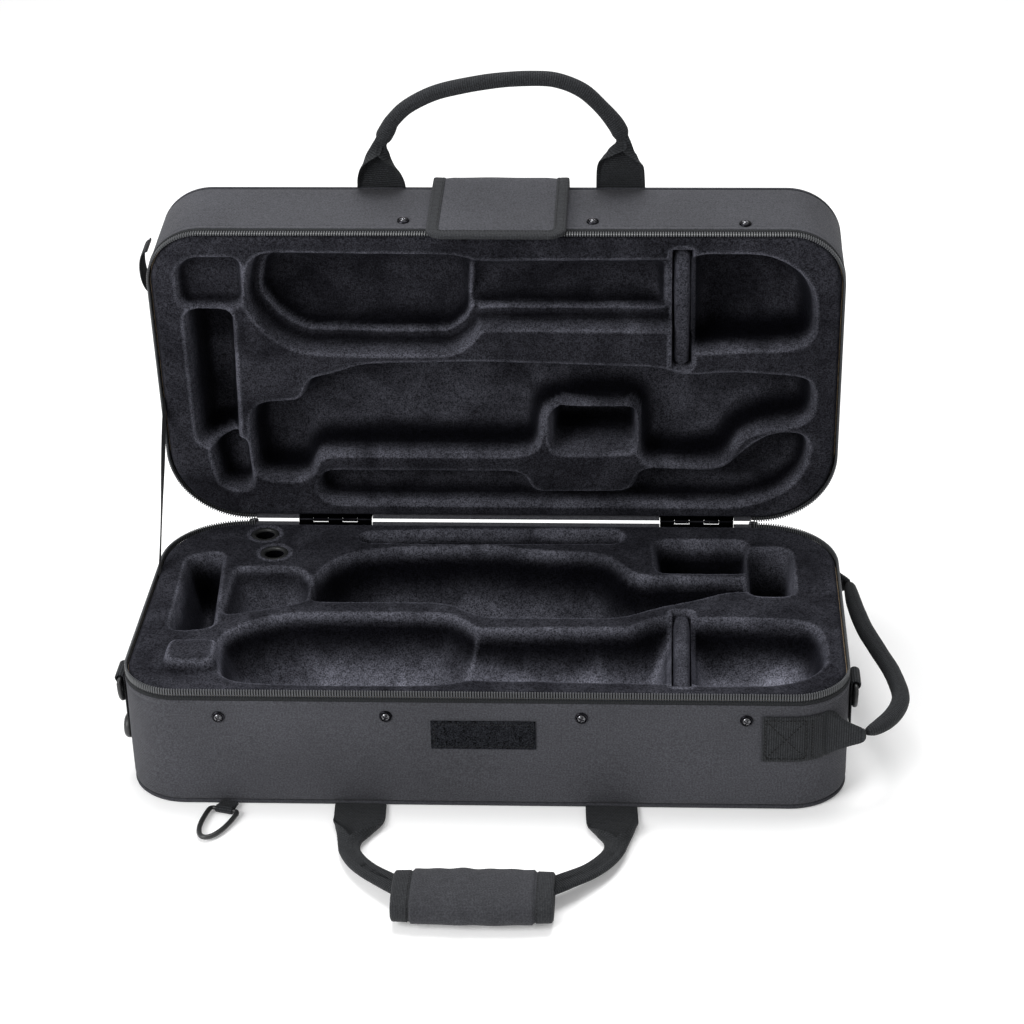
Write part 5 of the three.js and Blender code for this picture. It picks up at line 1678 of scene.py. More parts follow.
def folded_section(
    half_width: float,
    core: np.ndarray,
    turn: np.ndarray,
    bend: float,
    thickness: float | np.ndarray,
    samples: int = 41,
) -> tuple[np.ndarray, np.ndarray]:
    """The section of a strap whose two edges fold back.

    Up to its core the strap is level. From there each edge bends on a radius until it has turned by an
    angle, and goes on straight. The section is the strap's two faces, half a thickness to each side.

    Args:
        half_width: half of the strap's flat width.
        core: half of the part that stays level, at each row.
        turn: the angle that the edges have turned by, at each row.
        bend: the radius of the bend.
        thickness: the strap's thickness, or a column of it for the rows.
        samples: how many places across.

    Returns:
        Across and lift, with shape (rows, columns), closed.
    """
    u = np.linspace(-half_width, half_width, samples)
    core, turn, side = core[:, None], turn[:, None], np.sign(u)
    over = np.maximum(np.abs(u) - core, 0)
    angle = np.minimum(over / bend, turn)
    rest = np.minimum(np.maximum(over - bend * turn, 0), 1.8 * core + 0.2)
    across = side * (np.minimum(np.abs(u), core) + bend * np.sin(angle) + rest * np.cos(turn))
    lift = -(bend * (1 - np.cos(angle)) + rest * np.sin(turn))
    half = thickness / 2 * np.minimum(1, (half_width - np.abs(u)) / 0.6 + 0.35)
    thick = (side * np.sin(angle) * half, np.cos(angle) * half)
    faces = [(line + t, (line - t)[:, ::-1], (line + t)[:, :1]) for line, t in zip((across, lift), thick)]
    return np.concatenate(faces[0], axis=1), np.concatenate(faces[1], axis=1)


def carried(run: np.ndarray, up: np.ndarray) -> tuple[np.ndarray, np.ndarray, np.ndarray]:
    """A path with its sides, for a section to be carried along.

    Args:
        run: rows of numbers whose first three are a place.
        up: the direction out of it.

    Returns:
        The path, the way across it and the way out of it.
    """
    path = run[:, :3]
    way = directions(path)
    side = unit(np.cross(np.broadcast_to(up, path.shape), way))
    return path, side, np.cross(way, side)


@dataclass(frozen=True)
class Webbing:
    """Strap webbing, in millimetres, which can be laid flat, folded or rolled to a tube."""

    half_width: float = 20.0
    thickness: float = 1.7

    def strap(self, stops: np.ndarray, up: np.ndarray, rows: int, bend: float) -> Surface:
        """A strap that is pinched thin at its first stop, where it comes out of a seam.

        It is pinched thin at its first stop, where it comes out of a seam.

        Args:
            stops: rows of (x, y, z, core, turn in degrees).
            up: the direction out of it.
            rows: how many rows along it.
            bend: the radius of its folds.

        Returns:
            The strap.
        """
        run = spline(stops, rows)
        path, side, out = carried(run, up)
        pinched = self.thickness * (0.3 + 0.7 * rises(lengths(path) / 6.0))[:, None]
        turn = np.radians(np.clip(run[:, 4], 0, 180))
        return swept(path, side, out, *folded_section(self.half_width, run[:, 3], turn, bend, pinched))

    def upright(self, stops: np.ndarray, sign: float, rows: int = 110, bend: float = 1.6) -> Surface:
        """A strap with its width upright and its folds to one side.

        Args:
            stops: rows of (x, y, z, core, turn in degrees).
            sign: which side is outward.
            rows: how many rows along it.
            bend: the radius of its folds.

        Returns:
            The strap.
        """
        run = spline(stops, rows)
        up = np.broadcast_to(Z, (rows, 3))
        outward = unit(np.cross(directions(run[:, :3]), up)) * -sign
        turn = np.radians(np.clip(run[:, 4], 0, 180))
        section = folded_section(self.half_width, run[:, 3], turn, bend, self.thickness)
        return swept(run[:, :3], up, outward, *section)

    def tube(
        self, stops: np.ndarray, up: np.ndarray, rows: int = 90, sides: int = 24, ridge: float = 0.5
    ) -> Surface:
        """A rolled tube, with the ridge of its overlap along one side.

        Args:
            stops: rows of (x, y, z, radius).
            up: the direction out of it.
            rows: how many rows along it.
            sides: how many sides it has.
            ridge: the ridge's height.

        Returns:
            The tube.
        """
        run = spline(stops, rows)
        path, side, out = carried(run, up)
        angle, share = around(sides), np.linspace(0, 1, rows)[:, None]
        end = np.minimum(1, 0.72 + 0.28 * np.sqrt(np.minimum(share, 1 - share) * rows / 2))
        radius = run[:, 3:] * end + ridge * bell(np.angle(np.exp(1j * (angle - 2.2))) / 0.35)
        radius = radius + 0.12 * soft_noise((rows, sides + 1), (9, 1), 17)
        radius[:, -1] = radius[:, 0]
        return swept(path, side, out, radius * np.cos(angle), radius * np.sin(angle))


STRAP = Webbing()
ROLL_STITCH = Stitch(pitch=3.2)


@dataclass(frozen=True)
class CarryHandles:
    """The lid's rolled webbing handle, and the base's with its padded grip.

    A stop of a lid leg is x, how far out of the seam, core and turn, and one of the arch is x and how far
    out. A stop of a base leg is x, how far out of the seam, height, core and turn.
    """

    lid_left: Rows = (
        (-95.6, -1.0, 16.6, 12), (-95.6, 3.5, 15.4, 28), (-96.9, 20.8, 10.4, 75), (-96.2, 31.2, 6.8, 130),
        (-94.2, 40.5, 3.0, 175), (-87.5, 51.8, 3.0, 180),
    )
    lid_right: Rows = (
        (99.6, -1.0, 17.4, 12), (99.6, 3.5, 16.6, 22), (99.6, 21.1, 14.8, 50), (100.6, 31.4, 9.8, 120),
        (101.6, 43.0, 3.2, 175), (95.5, 57.0, 3.0, 180),
    )
    lid_arch: Rows = (
        (-93.4, 42.0), (-88.0, 51.4), (-83.4, 59.5), (-71.1, 71.8), (-50.2, 83.2), (-27.7, 89.4),
        (2.0, 94.6), (33.3, 96.4), (51.6, 94.2), (69.9, 85.6), (84.5, 71.1), (95.5, 57.0), (101.4, 45.0),
    )
    lid_height: float = 1.7
    lid_radius: Pair = (6.1, 6.9)
    base_left: Rows = (
        (-96.5, 0.3, 1.7, 19.2, 4), (-96.5, 3.2, 1.8, 19.0, 6), (-95.6, 24.0, 2.2, 17.8, 30),
        (-97.3, 40.0, 2.8, 12.6, 95), (-99.0, 55.0, 3.6, 7.4, 155), (-97.5, 70.0, 5.0, 5.8, 180),
        (-90.5, 86.0, 7.2, 5.8, 180), (-80.0, 100.0, 9.0, 6.0, 180), (-66.0, 113.0, 10.4, 6.6, 180),
        (-52.0, 124.0, 11.4, 7.6, 180), (-40.0, 131.0, 11.8, 8.4, 180),
    )
    base_right: Rows = (
        (97.6, 0.3, 1.7, 19.2, 4), (97.6, 3.2, 1.8, 19.0, 6), (98.8, 24.0, 2.2, 17.8, 30),
        (101.0, 40.0, 2.8, 12.6, 95), (102.2, 54.0, 3.6, 7.4, 155), (100.2, 68.0, 5.0, 5.8, 180),
        (93.0, 84.0, 7.2, 5.8, 180), (82.0, 98.5, 9.0, 6.0, 180), (67.0, 111.0, 10.4, 6.6, 180),
        (52.0, 122.0, 11.4, 7.6, 180), (40.0, 130.0, 11.8, 8.4, 180),
    )
    grip_half: float = 59.0
    grip_place: Pair = (-269.6, 13.4)
    grip_size: Pair = (27.6, 12.7)
    grip_cuff: float = 13.4

    def lid_handle(self) -> None:
        """Two folded legs that run into a tube, with a row of stitches along its inner side."""
        out_of_lid, on = LID.way(Z), LID.way(Y)
        rows = [np.array(stops) for stops in (self.lid_left, self.lid_right, self.lid_arch)]
        places = [LID.world(stacked(r[:, 0], LID.depth + r[:, 1], self.lid_height)) for r in rows]
        legs = [np.column_stack([place, row[:, 2:]]) for place, row in zip(places[:2], rows)]
        arch = np.column_stack([places[2], np.full(len(rows[2]), self.lid_radius[0])])
        arch[:2, 3] = arch[-2:, 3] = self.lid_radius[1]
        sewn = spline(arch, 120)[8:-8, :3] + out_of_lid * 6.15 + on
        parts = [*(STRAP.strap(leg, -out_of_lid, 80, 1.7) for leg in legs), STRAP.tube(arch, out_of_lid)]
        parts.append(ROLL_STITCH.row(sewn, out_of_lid))
        make_piece("lid_carry_webbing", parts, [WEBBING, THREAD], "lid_carry_handle", "lid_handle")

    def base_webbing(self) -> None:
        """The base handle's two folded legs."""
        legs = []
        for stops in (self.base_left, self.base_right):
            rows = np.array(stops) * [1, -1, 1, 1, 1] - [0, BASE.depth / 2, 0, 0, 0]
            legs.append(STRAP.strap(rows, -Z, 110, 1.5))
        make_piece("base_carry_webbing", legs, [WEBBING], "base_carry_handle", "base_handle_webbing")

    def grip_points(self, x: np.ndarray, sides: int) -> np.ndarray:
        """The wrap's rings: a flattened roll, crowned along its length and drawn in at its two bound ends.

        Args:
            x: the rings' places, as a column.
            sides: how many sides it has.

        Returns:
            The places, with shape (rings, sides + 1, 3).
        """
        left, angle = self.grip_half - np.abs(x), around(sides)
        bound = rises((left - self.grip_cuff - 0.1) / 1.6)
        crown = 1 - 0.05 * (np.abs(x) / self.grip_half) ** 2 - 0.045 * (1 - bound)
        crown = crown * (0.9 + 0.1 * np.sqrt(1 - (1 - np.clip(left / 2.0, 0, 1)) ** 2))
        seam = 0.9 * bell((left - self.grip_cuff) / 0.9)
        ripple = 0.5 * soft_noise((len(x), sides + 1), (7, 3), 29) * bound
        ripple[:, -1] = ripple[:, 0]
        y, z = (
            place + (size * crown - seam + ripple * share) * squared(wave, 0.82)
            for place, size, share, wave in zip(
                self.grip_place, self.grip_size, (1.0, 0.7), (np.cos(angle), np.sin(angle))
            )
        )
        return stacked(x, y, z)

    def grip(self) -> None:
        """The wrap in nylon with a bound cuff at each end, whose mouth turns in, and a ring of stitches."""
        x = np.linspace(-self.grip_half, self.grip_half, 118)
        points = self.grip_points(x[:, None], 64)
        uv = grid(points).uv.reshape(*points.shape[:2], 2)
        bound = self.grip_half - self.grip_cuff
        cuts = [0, *np.searchsorted(x, [-bound, bound]), len(x) - 1]
        spans = zip(cuts, cuts[1:], (1, 0, 1))
        parts = [grid(points[a : b + 1], uv[a : b + 1], finish=finish) for a, b, finish in spans]
        inwards = np.array([0, *self.grip_place]) * [0, 0.45, 0.6]
        for row, side in ((0, -1), (-1, 1)):
            edge = points[row]
            centre = np.broadcast_to(edge[:-1].mean(0), edge.shape)
            mouth = np.stack([edge, edge * [1, 0.55, 0.4] + inwards, centre])
            mouth[1:, :, 0] -= side * np.array([[0.6], [1.4]])
            parts.append(grid(mouth, mouth[..., 1:] * METRE, finish=1))
        for side in (-1, 1):
            ring = int(np.argmin(np.abs(x - side * (self.grip_half - 11.6))))
            out = unit(points[ring] - [x[ring], *self.grip_place])
            parts.append(Stitch(3.0, 2.2, 0.3).row(points[ring] + out * 0.1, out, finish=2))
        finishes = [WRAP, BINDING, THREAD]
        wrap = make_piece("base_grip_wrap", parts, finishes, "base_carry_handle", "base_handle_grip", 70)

    def build(self) -> None:
        """Both handles."""
        self.lid_handle()
        self.base_webbing()
        self.grip()


@dataclass(frozen=True)
class CornerPatch:
    """A stretch of webbing sewn round a corner of the base's right end.

    Args:
        name: front or rear.
        sign: -1 at the front wall and 1 at the rear.
        radius: the wall's corner radius.
        turns: how many degrees of the corner it follows.
        start: x where it starts.
        end: x and y where it is drawn in to the tube.
    """

    name: str
    sign: float
    radius: float
    turns: float
    start: float
    end: Pair
    height: float = 65.0
    lift: float = 1.2
    box: float = 31.0
    box_half: float = 17.0

    def bent(self, along: np.ndarray, out: float) -> tuple[np.ndarray, np.ndarray]:
        """Places along the wall and round its corner, some way out of it, and the directions out.

        Args:
            along: x on the wall, which goes on round the corner.
            out: how far out of the wall.

        Returns:
            The places and the directions, (x, y) each.
        """
        reach, corner = self.radius + out, BASE.width / 2 - self.radius
        over = np.maximum(along - corner, 0) / reach
        normal = np.column_stack([np.sin(over), self.sign * np.cos(over)])
        middle = [0, self.sign * (BASE.depth / 2 - self.radius)]
        return np.minimum(along, corner)[:, None] * [1, 0] + middle + reach * normal, normal

    def strap(self) -> Surface:
        """The webbing: flat on the wall and round the corner, then folded and drawn in to the tube's end.

        Returns:
            The strap.
        """
        out, wall = self.radius + self.lift, self.sign * (BASE.depth / 2 + self.lift)
        angle = np.radians(np.linspace(0, self.turns, 7))
        arc = np.column_stack([np.sin(angle), self.sign * np.cos(angle)]) * out
        arc += [BASE.width / 2 - self.radius, self.sign * (BASE.depth / 2 - self.radius)]
        share = (np.arange(7) / 6)[:, None] ** 2
        flat = np.column_stack([arc, 19.9 - 2.5 * share, 30 * share])
        lead = [(self.start, wall, 19.9, 0), ((self.start + arc[0, 0]) / 2, wall, 19.9, 0)]
        x, y = self.end
        drawn = [
            ((arc[-1, 0] + x) / 2 - 1, (arc[-1, 1] + y) / 2 + self.sign * 1.6, 9.5, 140),
            (x - 3.0, y + self.sign * 2.4, 4.2, 180),
            (x, y + self.sign * 0.3, 2.6, 180),
        ]
        stops = np.insert(np.vstack([lead, flat, drawn]), 2, self.height, axis=1)
        return STRAP.upright(stops, self.sign)

    def sewn(self) -> list[Surface]:
        """The stitches: a box with a cross in it, and one line up near the corner.

        Returns:
            The rows of stitches.
        """
        left, low, high = self.start + 2.5, self.height - self.box_half, self.height + self.box_half
        right, last = left + self.box, left + self.box + 5
        lines = (
            ((left, low), (right, low), (right, high), (left, high), (left, low)),
            ((left, low), (right, high)),
            ((left, high), (right, low)),
            ((last, low), (last, high)),
        )
        rows = []
        for line in lines:
            dense = evened(np.array(line), 60)
            places, normals = self.bent(dense[:, 0], self.lift + 1.0)
            points, out = np.column_stack([places, dense[:, 1]]), np.column_stack([normals, np.zeros(60)])
            rows.append(Stitch(3.1, 2.5, 0.5).row(points, out))
        return rows

    def build(self) -> None:
        """The strap and its stitches."""
        parts, node = [self.strap(), *self.sewn()], f"side_handle_{self.name}_patch"
        make_piece(f"end_handle_{self.name}_webbing", parts, [WEBBING, THREAD], "base", node)


@dataclass(frozen=True)
class EndHandle:
    """The handle at the right end: webbing sewn round both corners, and a rolled tube between.

    A stop of the tube is x, y and radius.
    """

    patches: tuple[CornerPatch, ...] = (
        CornerPatch("front", -1, BASE.front_radius, 36, 212.0, (290.6, -129.2)),
        CornerPatch("rear", 1, BASE.rear_radius, 54, 192.0, (292.0, 100.5)),
    )
    roll: Rows = (
        (292, 99.3, 4.4), (292.6, 86, 5.8), (294.6, 63, 6.7), (300, 28.3, 6.9), (308.5, -5.2, 6.9),
        (317, -37.8, 6.9), (321.4, -69.6, 6.9), (319, -88, 6.9), (311, -105.9, 6.6), (300.5, -119.0, 5.4),
        (292, -125.6, 3.4),
    )

    def build(self) -> None:
        """Both patches, and the tube that swings on its two ends, with stitches along its top."""
        for patch in self.patches:
            patch.build()
        stops = np.insert(np.array(self.roll), 2, self.patches[0].height, axis=1)
        run = spline(stops, 120)[8:-8]
        row = ROLL_STITCH.row(run[:, :3] + Z * run[:, 3:], Z)
        parts = [STRAP.tube(stops, Z, ridge=0.6), row]
        make_piece("end_handle_roll", parts, [WEBBING, THREAD], "end_handle", "side_handle_loop")


@dataclass(frozen=True)
class StrapRings:
    """The strap rings of the base with their tabs, the stud under the left one, and the lid's end loop.

    Stops of the tabs are (out, up). The stud's profile is (radius, height).
    """

    end_place: tuple[float, float, float] = (284.6, -85.0, 88.23)
    end_stops: Rows = (
        (-3.35, -35.6), (-3.35, -22), (-3.35, -8), (-3.3, 0.3), (-2.4, 2.4), (0, 3.3), (2.4, 2.3), (3.3, 0),
        (2.3, -2.7), (0.2, -5.2), (-1.5, -8.5), (-1.6, -13), (-1.6, -19),
    )
    box_half: float = 8.5
    box_levels: Pair = (-9.0, -17.0)
    stud: Rows = (
        (0, 0), (7.6, 0), (9.2, 0.5), (9.9, 1.7), (10.0, 2.8), (9.7, 4.2), (8.8, 5.4), (7.2, 6.2),
        (5.8, 6.5), (5.4, 6.3), (5.0, 6.6), (2.5, 6.95), (0, 7.0),
    )
    stud_place: tuple[float, float, float] = (-280.3, -85.0, 38.73)
    bottom_turn: float = -0.27
    bottom_place: tuple[float, float, float] = (-201.04, -148.77, 3.38)
    bottom_stops: Rows = (
        (11.0, 0.75), (7.0, 0.75), (4.2, 1.0), (2.4, 1.75), (0, 2.4), (-1.9, 1.6), (-2.5, 0), (-1.8, -1.7),
        (0, -2.4), (2.4, -1.75), (4.2, -1.0), (7.0, -0.75), (11.0, -0.75),
    )
    loop_place: tuple[float, float, float] = (-280.3, 227.1, 54.1)

    def bow(self, width: float, length: float, steps: int = 121) -> Surface:
        """A D of moulded wire in X and Y: a straight bar on the X axis and a bow towards -Y.

        Args:
            width: its width.
            length: how far it reaches.
            steps: how many rings of points.

        Returns:
            The ring.
        """
        angle, reach = np.linspace(0, math.pi, 41), width / 2 - 2.0
        curve = np.column_stack([reach * np.cos(angle), -(length - 3.7) * np.sin(angle) ** 0.8, np.zeros(41)])
        bar = np.linspace(-reach, reach, 12)[1:-1, None] * X
        path = evened(np.vstack([curve, bar, curve[:1]]), steps)
        soft = np.vstack([path[-6:-1], path, path[1:6]])
        path = np.stack([soft[k : k + steps] for k in range(3, 8)]).mean(0)
        way = unit(np.roll(path, -1, axis=0) - np.roll(path, 1, axis=0))
        way[0] = way[-1] = unit(path[1] - path[-2])
        wire = 2.0 - 0.35 * rises((path[:, 1] + 2.5) / 2.0)[:, None]
        angle = around(16)
        out, up = (wire * np.cos(angle))[..., None], (wire * np.sin(angle))[..., None]
        points = path[:, None] + np.cross(way, Z)[:, None] * out + Z * up
        points[-1] = points[0]
        return grid(points)

    def tab(self, stops: Rows, width: float, thickness: float = 1.7, rows: int = 70) -> Surface:
        """A strip in Y and Z, with its width along X.

        Args:
            stops: rows of (out, up).
            width: its width.
            thickness: its thickness.
            rows: how many rows along it.

        Returns:
            The strip.
        """
        path = np.column_stack([np.zeros(rows), flat_spline(stops, rows)])
        side = np.broadcast_to(X, path.shape)
        level = np.full(rows, width / 2 - 0.1)
        section = folded_section(width / 2, level, np.zeros(rows), 1.0, thickness, 21)
        return swept(path, side, np.cross(directions(path), side), *section)

    def end_rings(self) -> None:
        """At each end a tab that runs up the wall, round its ring's bar and down on itself."""
        w, (high, low) = self.box_half, self.box_levels
        a, b, c, d = (-w, high), (w, high), (-w, low), (w, low)
        lines = (a, b), (c, d), (a, d), (b, c)
        for name, sign in (("right", 1.0), ("left", -1.0)):
            origin = np.array(self.end_place) * [sign, 1, 1]
            axes = np.array([-sign * Y, sign * X, Z])
            strip = self.tab(self.end_stops, 22).moved(origin, *axes)
            box = [origin + np.array([(x, -0.7, h) for x, h in line]) @ axes for line in lines]
            sewn = [Stitch(2.6, 1.8, 0.28).row(line, axes[1]) for line in box]
            make_piece(f"{name}_ring_webbing", [strip, *sewn], [WEBBING, THREAD], "base", f"{name}_ring_tab")
            ring = self.bow(34, 26).moved(origin, axes[0], Z, -axes[1])
            make_piece(f"{name}_strap_bow", [ring], [PLASTIC], f"{name}_strap_ring", f"{name}_ring", 70)

    def bottom_ring(self) -> None:
        """The ring that lies at the bottom seam, and the tab that holds it."""
        along, out = math.cos(self.bottom_turn), math.sin(self.bottom_turn)
        where = (self.bottom_place, along * X + out * Y, along * Y - out * X, Z)
        strip, ring = self.tab(self.bottom_stops, 14, 1.1).moved(*where), self.bow(27, 42).moved(*where)
        make_piece("bottom_ring_webbing", [strip], [WEBBING], "base", "bottom_ring_tab")
        make_piece("bottom_strap_bow", [ring], [PLASTIC], "bottom_strap_ring", "bottom_ring", 70)

    def lid_loop(self) -> None:
        """The low loop on the lid's end: a strip that arches off the wall."""
        angle = np.linspace(0, math.pi, 13)
        arch = np.column_stack([0.9 + 6.9 * np.sin(angle), 18.6 * np.cos(angle)])
        strip = self.tab(np.vstack([[0.9, 20.0], arch, [0.9, -20.0]]), 22, 1.6)
        loop = LID.placed(strip.moved(self.loop_place, Z, -X, Y))
        make_piece("lid_end_webbing", [loop], [WEBBING], "lid", "lid_end_loop")

    def build(self) -> None:
        """All rings and tabs, the stud turned round the way out of the wall, and the loop."""
        self.end_rings()
        knob = lathe(self.stud, 40).moved(self.stud_place, Y, Z, -X)
        make_piece("left_stud", [knob], [PLASTIC], "base", "left_knob", 60)
        self.bottom_ring()
        self.lid_loop()


@dataclass(frozen=True)
class ClosingFlap:
    """The flap over the zip: a nylon panel in a bound edge, with the hook pad inside.

    Places on it are x and the distance down its run from the sewn root, which goes over the lid's edge. A
    stop of the run is how far from the lid's middle, and its height.
    """

    middle: float = 2.5
    width: float = 111.0
    corner: float = 14.0
    binding: float = 10.0
    lap: float = 1.5
    panel_corner: float = 5.5
    hook_half: float = 39.5
    hook_span: Pair = (60.5, 84.5)
    hem_inset: tuple[float, ...] = (
        10.0, 9.5, 8.3, 6.0, 3.0, 1.1, 0.3, 0.0, 0.3, 1.1, 3.0, 6.0, 9.0, 10.0, 10.0
    )
    hem_out: tuple[float, ...] = (
        1.3, 1.75, 1.62, 1.85, 1.9, 1.8, 1.3, 0.0, -1.3, -1.8, -1.9, -1.85, -1.85, -1.3, 1.3
    )
    run: Rows = (
        (111.0, -2.2), (124.75, -3.0), (136.2, -4.4), (140.6, -2.9), (142.2, 2.2), (142.2, 14.0),
        (141.2, 46.0), (140.2, 80.0), (139.6, 96.5),
    )

    def line(self) -> tuple[np.ndarray, np.ndarray]:
        """The run as places (s, h), and how far each is along it."""
        path = flat_spline(np.array(self.run) + [LID.depth / 2, 0], 240)
        return path, lengths(path)

    def placed(self, x: np.ndarray, down: np.ndarray, out: np.ndarray) -> np.ndarray:
        """Places on the flap: the run's place at that distance, and out along its normal.

        Args:
            x: how far to the right of its middle.
            down: the distance down its run.
            out: how far out of it.

        Returns:
            The places in the row frame.
        """
        path, along = self.line()
        s, h, way_s, way_h = (np.interp(down, along, v) for v in (*path.T, *directions(path).T))
        return LID.world(stacked(x + self.middle, s + out * way_h, h - out * way_s))

    def panel(self) -> None:
        """The nylon: its outer face swells softly between its bound edges, its inner face is flat."""
        reach = self.width / 2 - self.binding + self.lap
        end = self.line()[1][-1] - self.binding + self.lap
        across, down = np.meshgrid(np.linspace(-reach, reach, 72), np.linspace(0, end, 90))
        radius = self.panel_corner
        middle = np.array([reach - radius, end - radius])
        out = np.stack([np.abs(across), down], -1) - middle
        beyond = np.all(out > 0, axis=-1)
        far = np.linalg.norm(out, axis=-1)
        pull = np.where(beyond & (far > radius), radius / np.maximum(far, 1e-6), 1.0)
        across = np.where(beyond, np.sign(across) * (middle[0] + out[..., 0] * pull), across)
        down = np.where(beyond, middle[1] + out[..., 1] * pull, down)
        edge = np.minimum(reach - np.abs(across), end - down)
        waves = soft_noise(across.shape, (2.5, 2.2), 41)
        face = 0.9 + 0.75 * rises(edge / 9) + 0.28 * waves * rises(edge / 12)
        parts = slab(self.placed(across, down, face), self.placed(across, down, -1.35), stacked(across, down))
        make_piece("flap_nylon", parts, [NYLON], "closing_flap", "flap", 60)

    def outline(self) -> tuple[np.ndarray, np.ndarray]:
        """The flap's edge: down its left side, round its foot and up its right side.

        Returns:
            Its places (x, down) and the directions inwards.
        """
        end, reach, r = self.line()[1][-1], self.width / 2, self.corner
        angle = np.radians(np.linspace(180, 90, 19))[1:]
        ray = np.column_stack([np.cos(angle), np.sin(angle)])
        left = np.column_stack([np.full(60, -reach), np.linspace(0, end - r, 60)])
        foot = np.column_stack([np.linspace(-reach + r, reach - r, 40), np.full(40, end)])[1:-1]
        half = np.vstack([left, [r - reach, end - r] + r * ray])
        inward = np.vstack([np.broadcast_to([1.0, 0.0], left.shape), -ray])
        places = np.vstack([half, foot, (half * [-1, 1])[::-1]])
        return places, np.vstack([inward, np.broadcast_to([0.0, -1.0], foot.shape), (inward * [-1, 1])[::-1]])

    def edge(self) -> None:
        """The binding: a folded tape round the edge, sewn along its inner side on both faces."""
        places, inward = self.outline()
        inset, out = np.array(self.hem_inset), np.array(self.hem_out)
        pucker = 0.1 * np.sin(np.arange(len(places)) * 1.9)[:, None] * (np.abs(out) > 1.5)
        flat = places[:, None] + inward[:, None] * inset[:, None]
        parts = [grid(self.placed(flat[..., 0], flat[..., 1], out + pucker * np.sign(out)), caps=True)]
        for step in (8.3, 2.6):
            line = (places + inward * step).T
            thread, lifted = self.placed(*line, 1.8), self.placed(*line, 2.8)
            parts.append(Stitch(2.7, 1.9, 0.26).row(thread, lifted - thread))
        make_piece("flap_bound_edge", parts, [BINDING, THREAD], "closing_flap", "flap_binding")

    def hooks(self) -> None:
        """The hook pad inside the flap, near its foot."""
        path, along = self.line()
        half, hanging = self.hook_half, len(path) // 2
        start, end = np.interp(self.hook_span, path[hanging:, 1], along[hanging:])
        across, down = np.meshgrid(np.linspace(-half, half, 110), np.linspace(start, end, 36))
        edge = np.minimum(half - np.abs(across), np.minimum(down - start, end - down))
        face = -2.3 - 1.2 * rises(edge / 1.2) - 0.12 * np.random.default_rng(9).uniform(0, 1, across.shape)
        parts = slab(self.placed(across, down, face), self.placed(across, down, -2.2), stacked(across, down))
        make_piece("closure_hook_pad", parts, [LOOPS], "closing_flap", "hook_patch", 70)

    def build(self) -> None:
        """Panel, edge and hook pad."""
        self.panel()
        self.edge()
        self.hooks()


@dataclass(frozen=True)
class StayRibbon:
    """The flat ribbon at the left end that stops the lid, from the base's rim to the lid's."""

    x: float = -277.55
    width: float = 12.0
    thickness: float = 0.45
    base_end: Pair = (47.06, 97.9)
    lid_end: Pair = (115.9, 77.6)
    bow: float = 1.2
    twist: float = 0.10
    rows: int = 70

    def build(self) -> None:
        """A thin strip with a slight bow and twist, drawn taut between its two ends."""
        low = np.array([self.x, *self.base_end])
        high = LID.world(np.array([self.x, *self.lid_end]))
        share = np.linspace(0, 1, self.rows)[:, None]
        side = unit(np.cross(X, unit(high - low)))
        path = low + (high - low) * share - side * self.bow * np.sin(math.pi * share)
        twist = self.twist * np.sin(TURN * share)
        across = np.cos(twist) * side + np.sin(twist) * X
        core, turn = np.full(self.rows, self.width / 2), np.zeros(self.rows)
        section = folded_section(self.width / 2, core, turn, 1.0, self.thickness, 15)
        strip = swept(path, across, np.cross(directions(path), across), *section)
        piece = make_piece("stay_ribbon_strip", [strip], [RIBBON], "", "stay_ribbon")
        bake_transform(piece)
        flat = (self.width * METRE, round(float(lengths(path)[-1]) * METRE, 4))


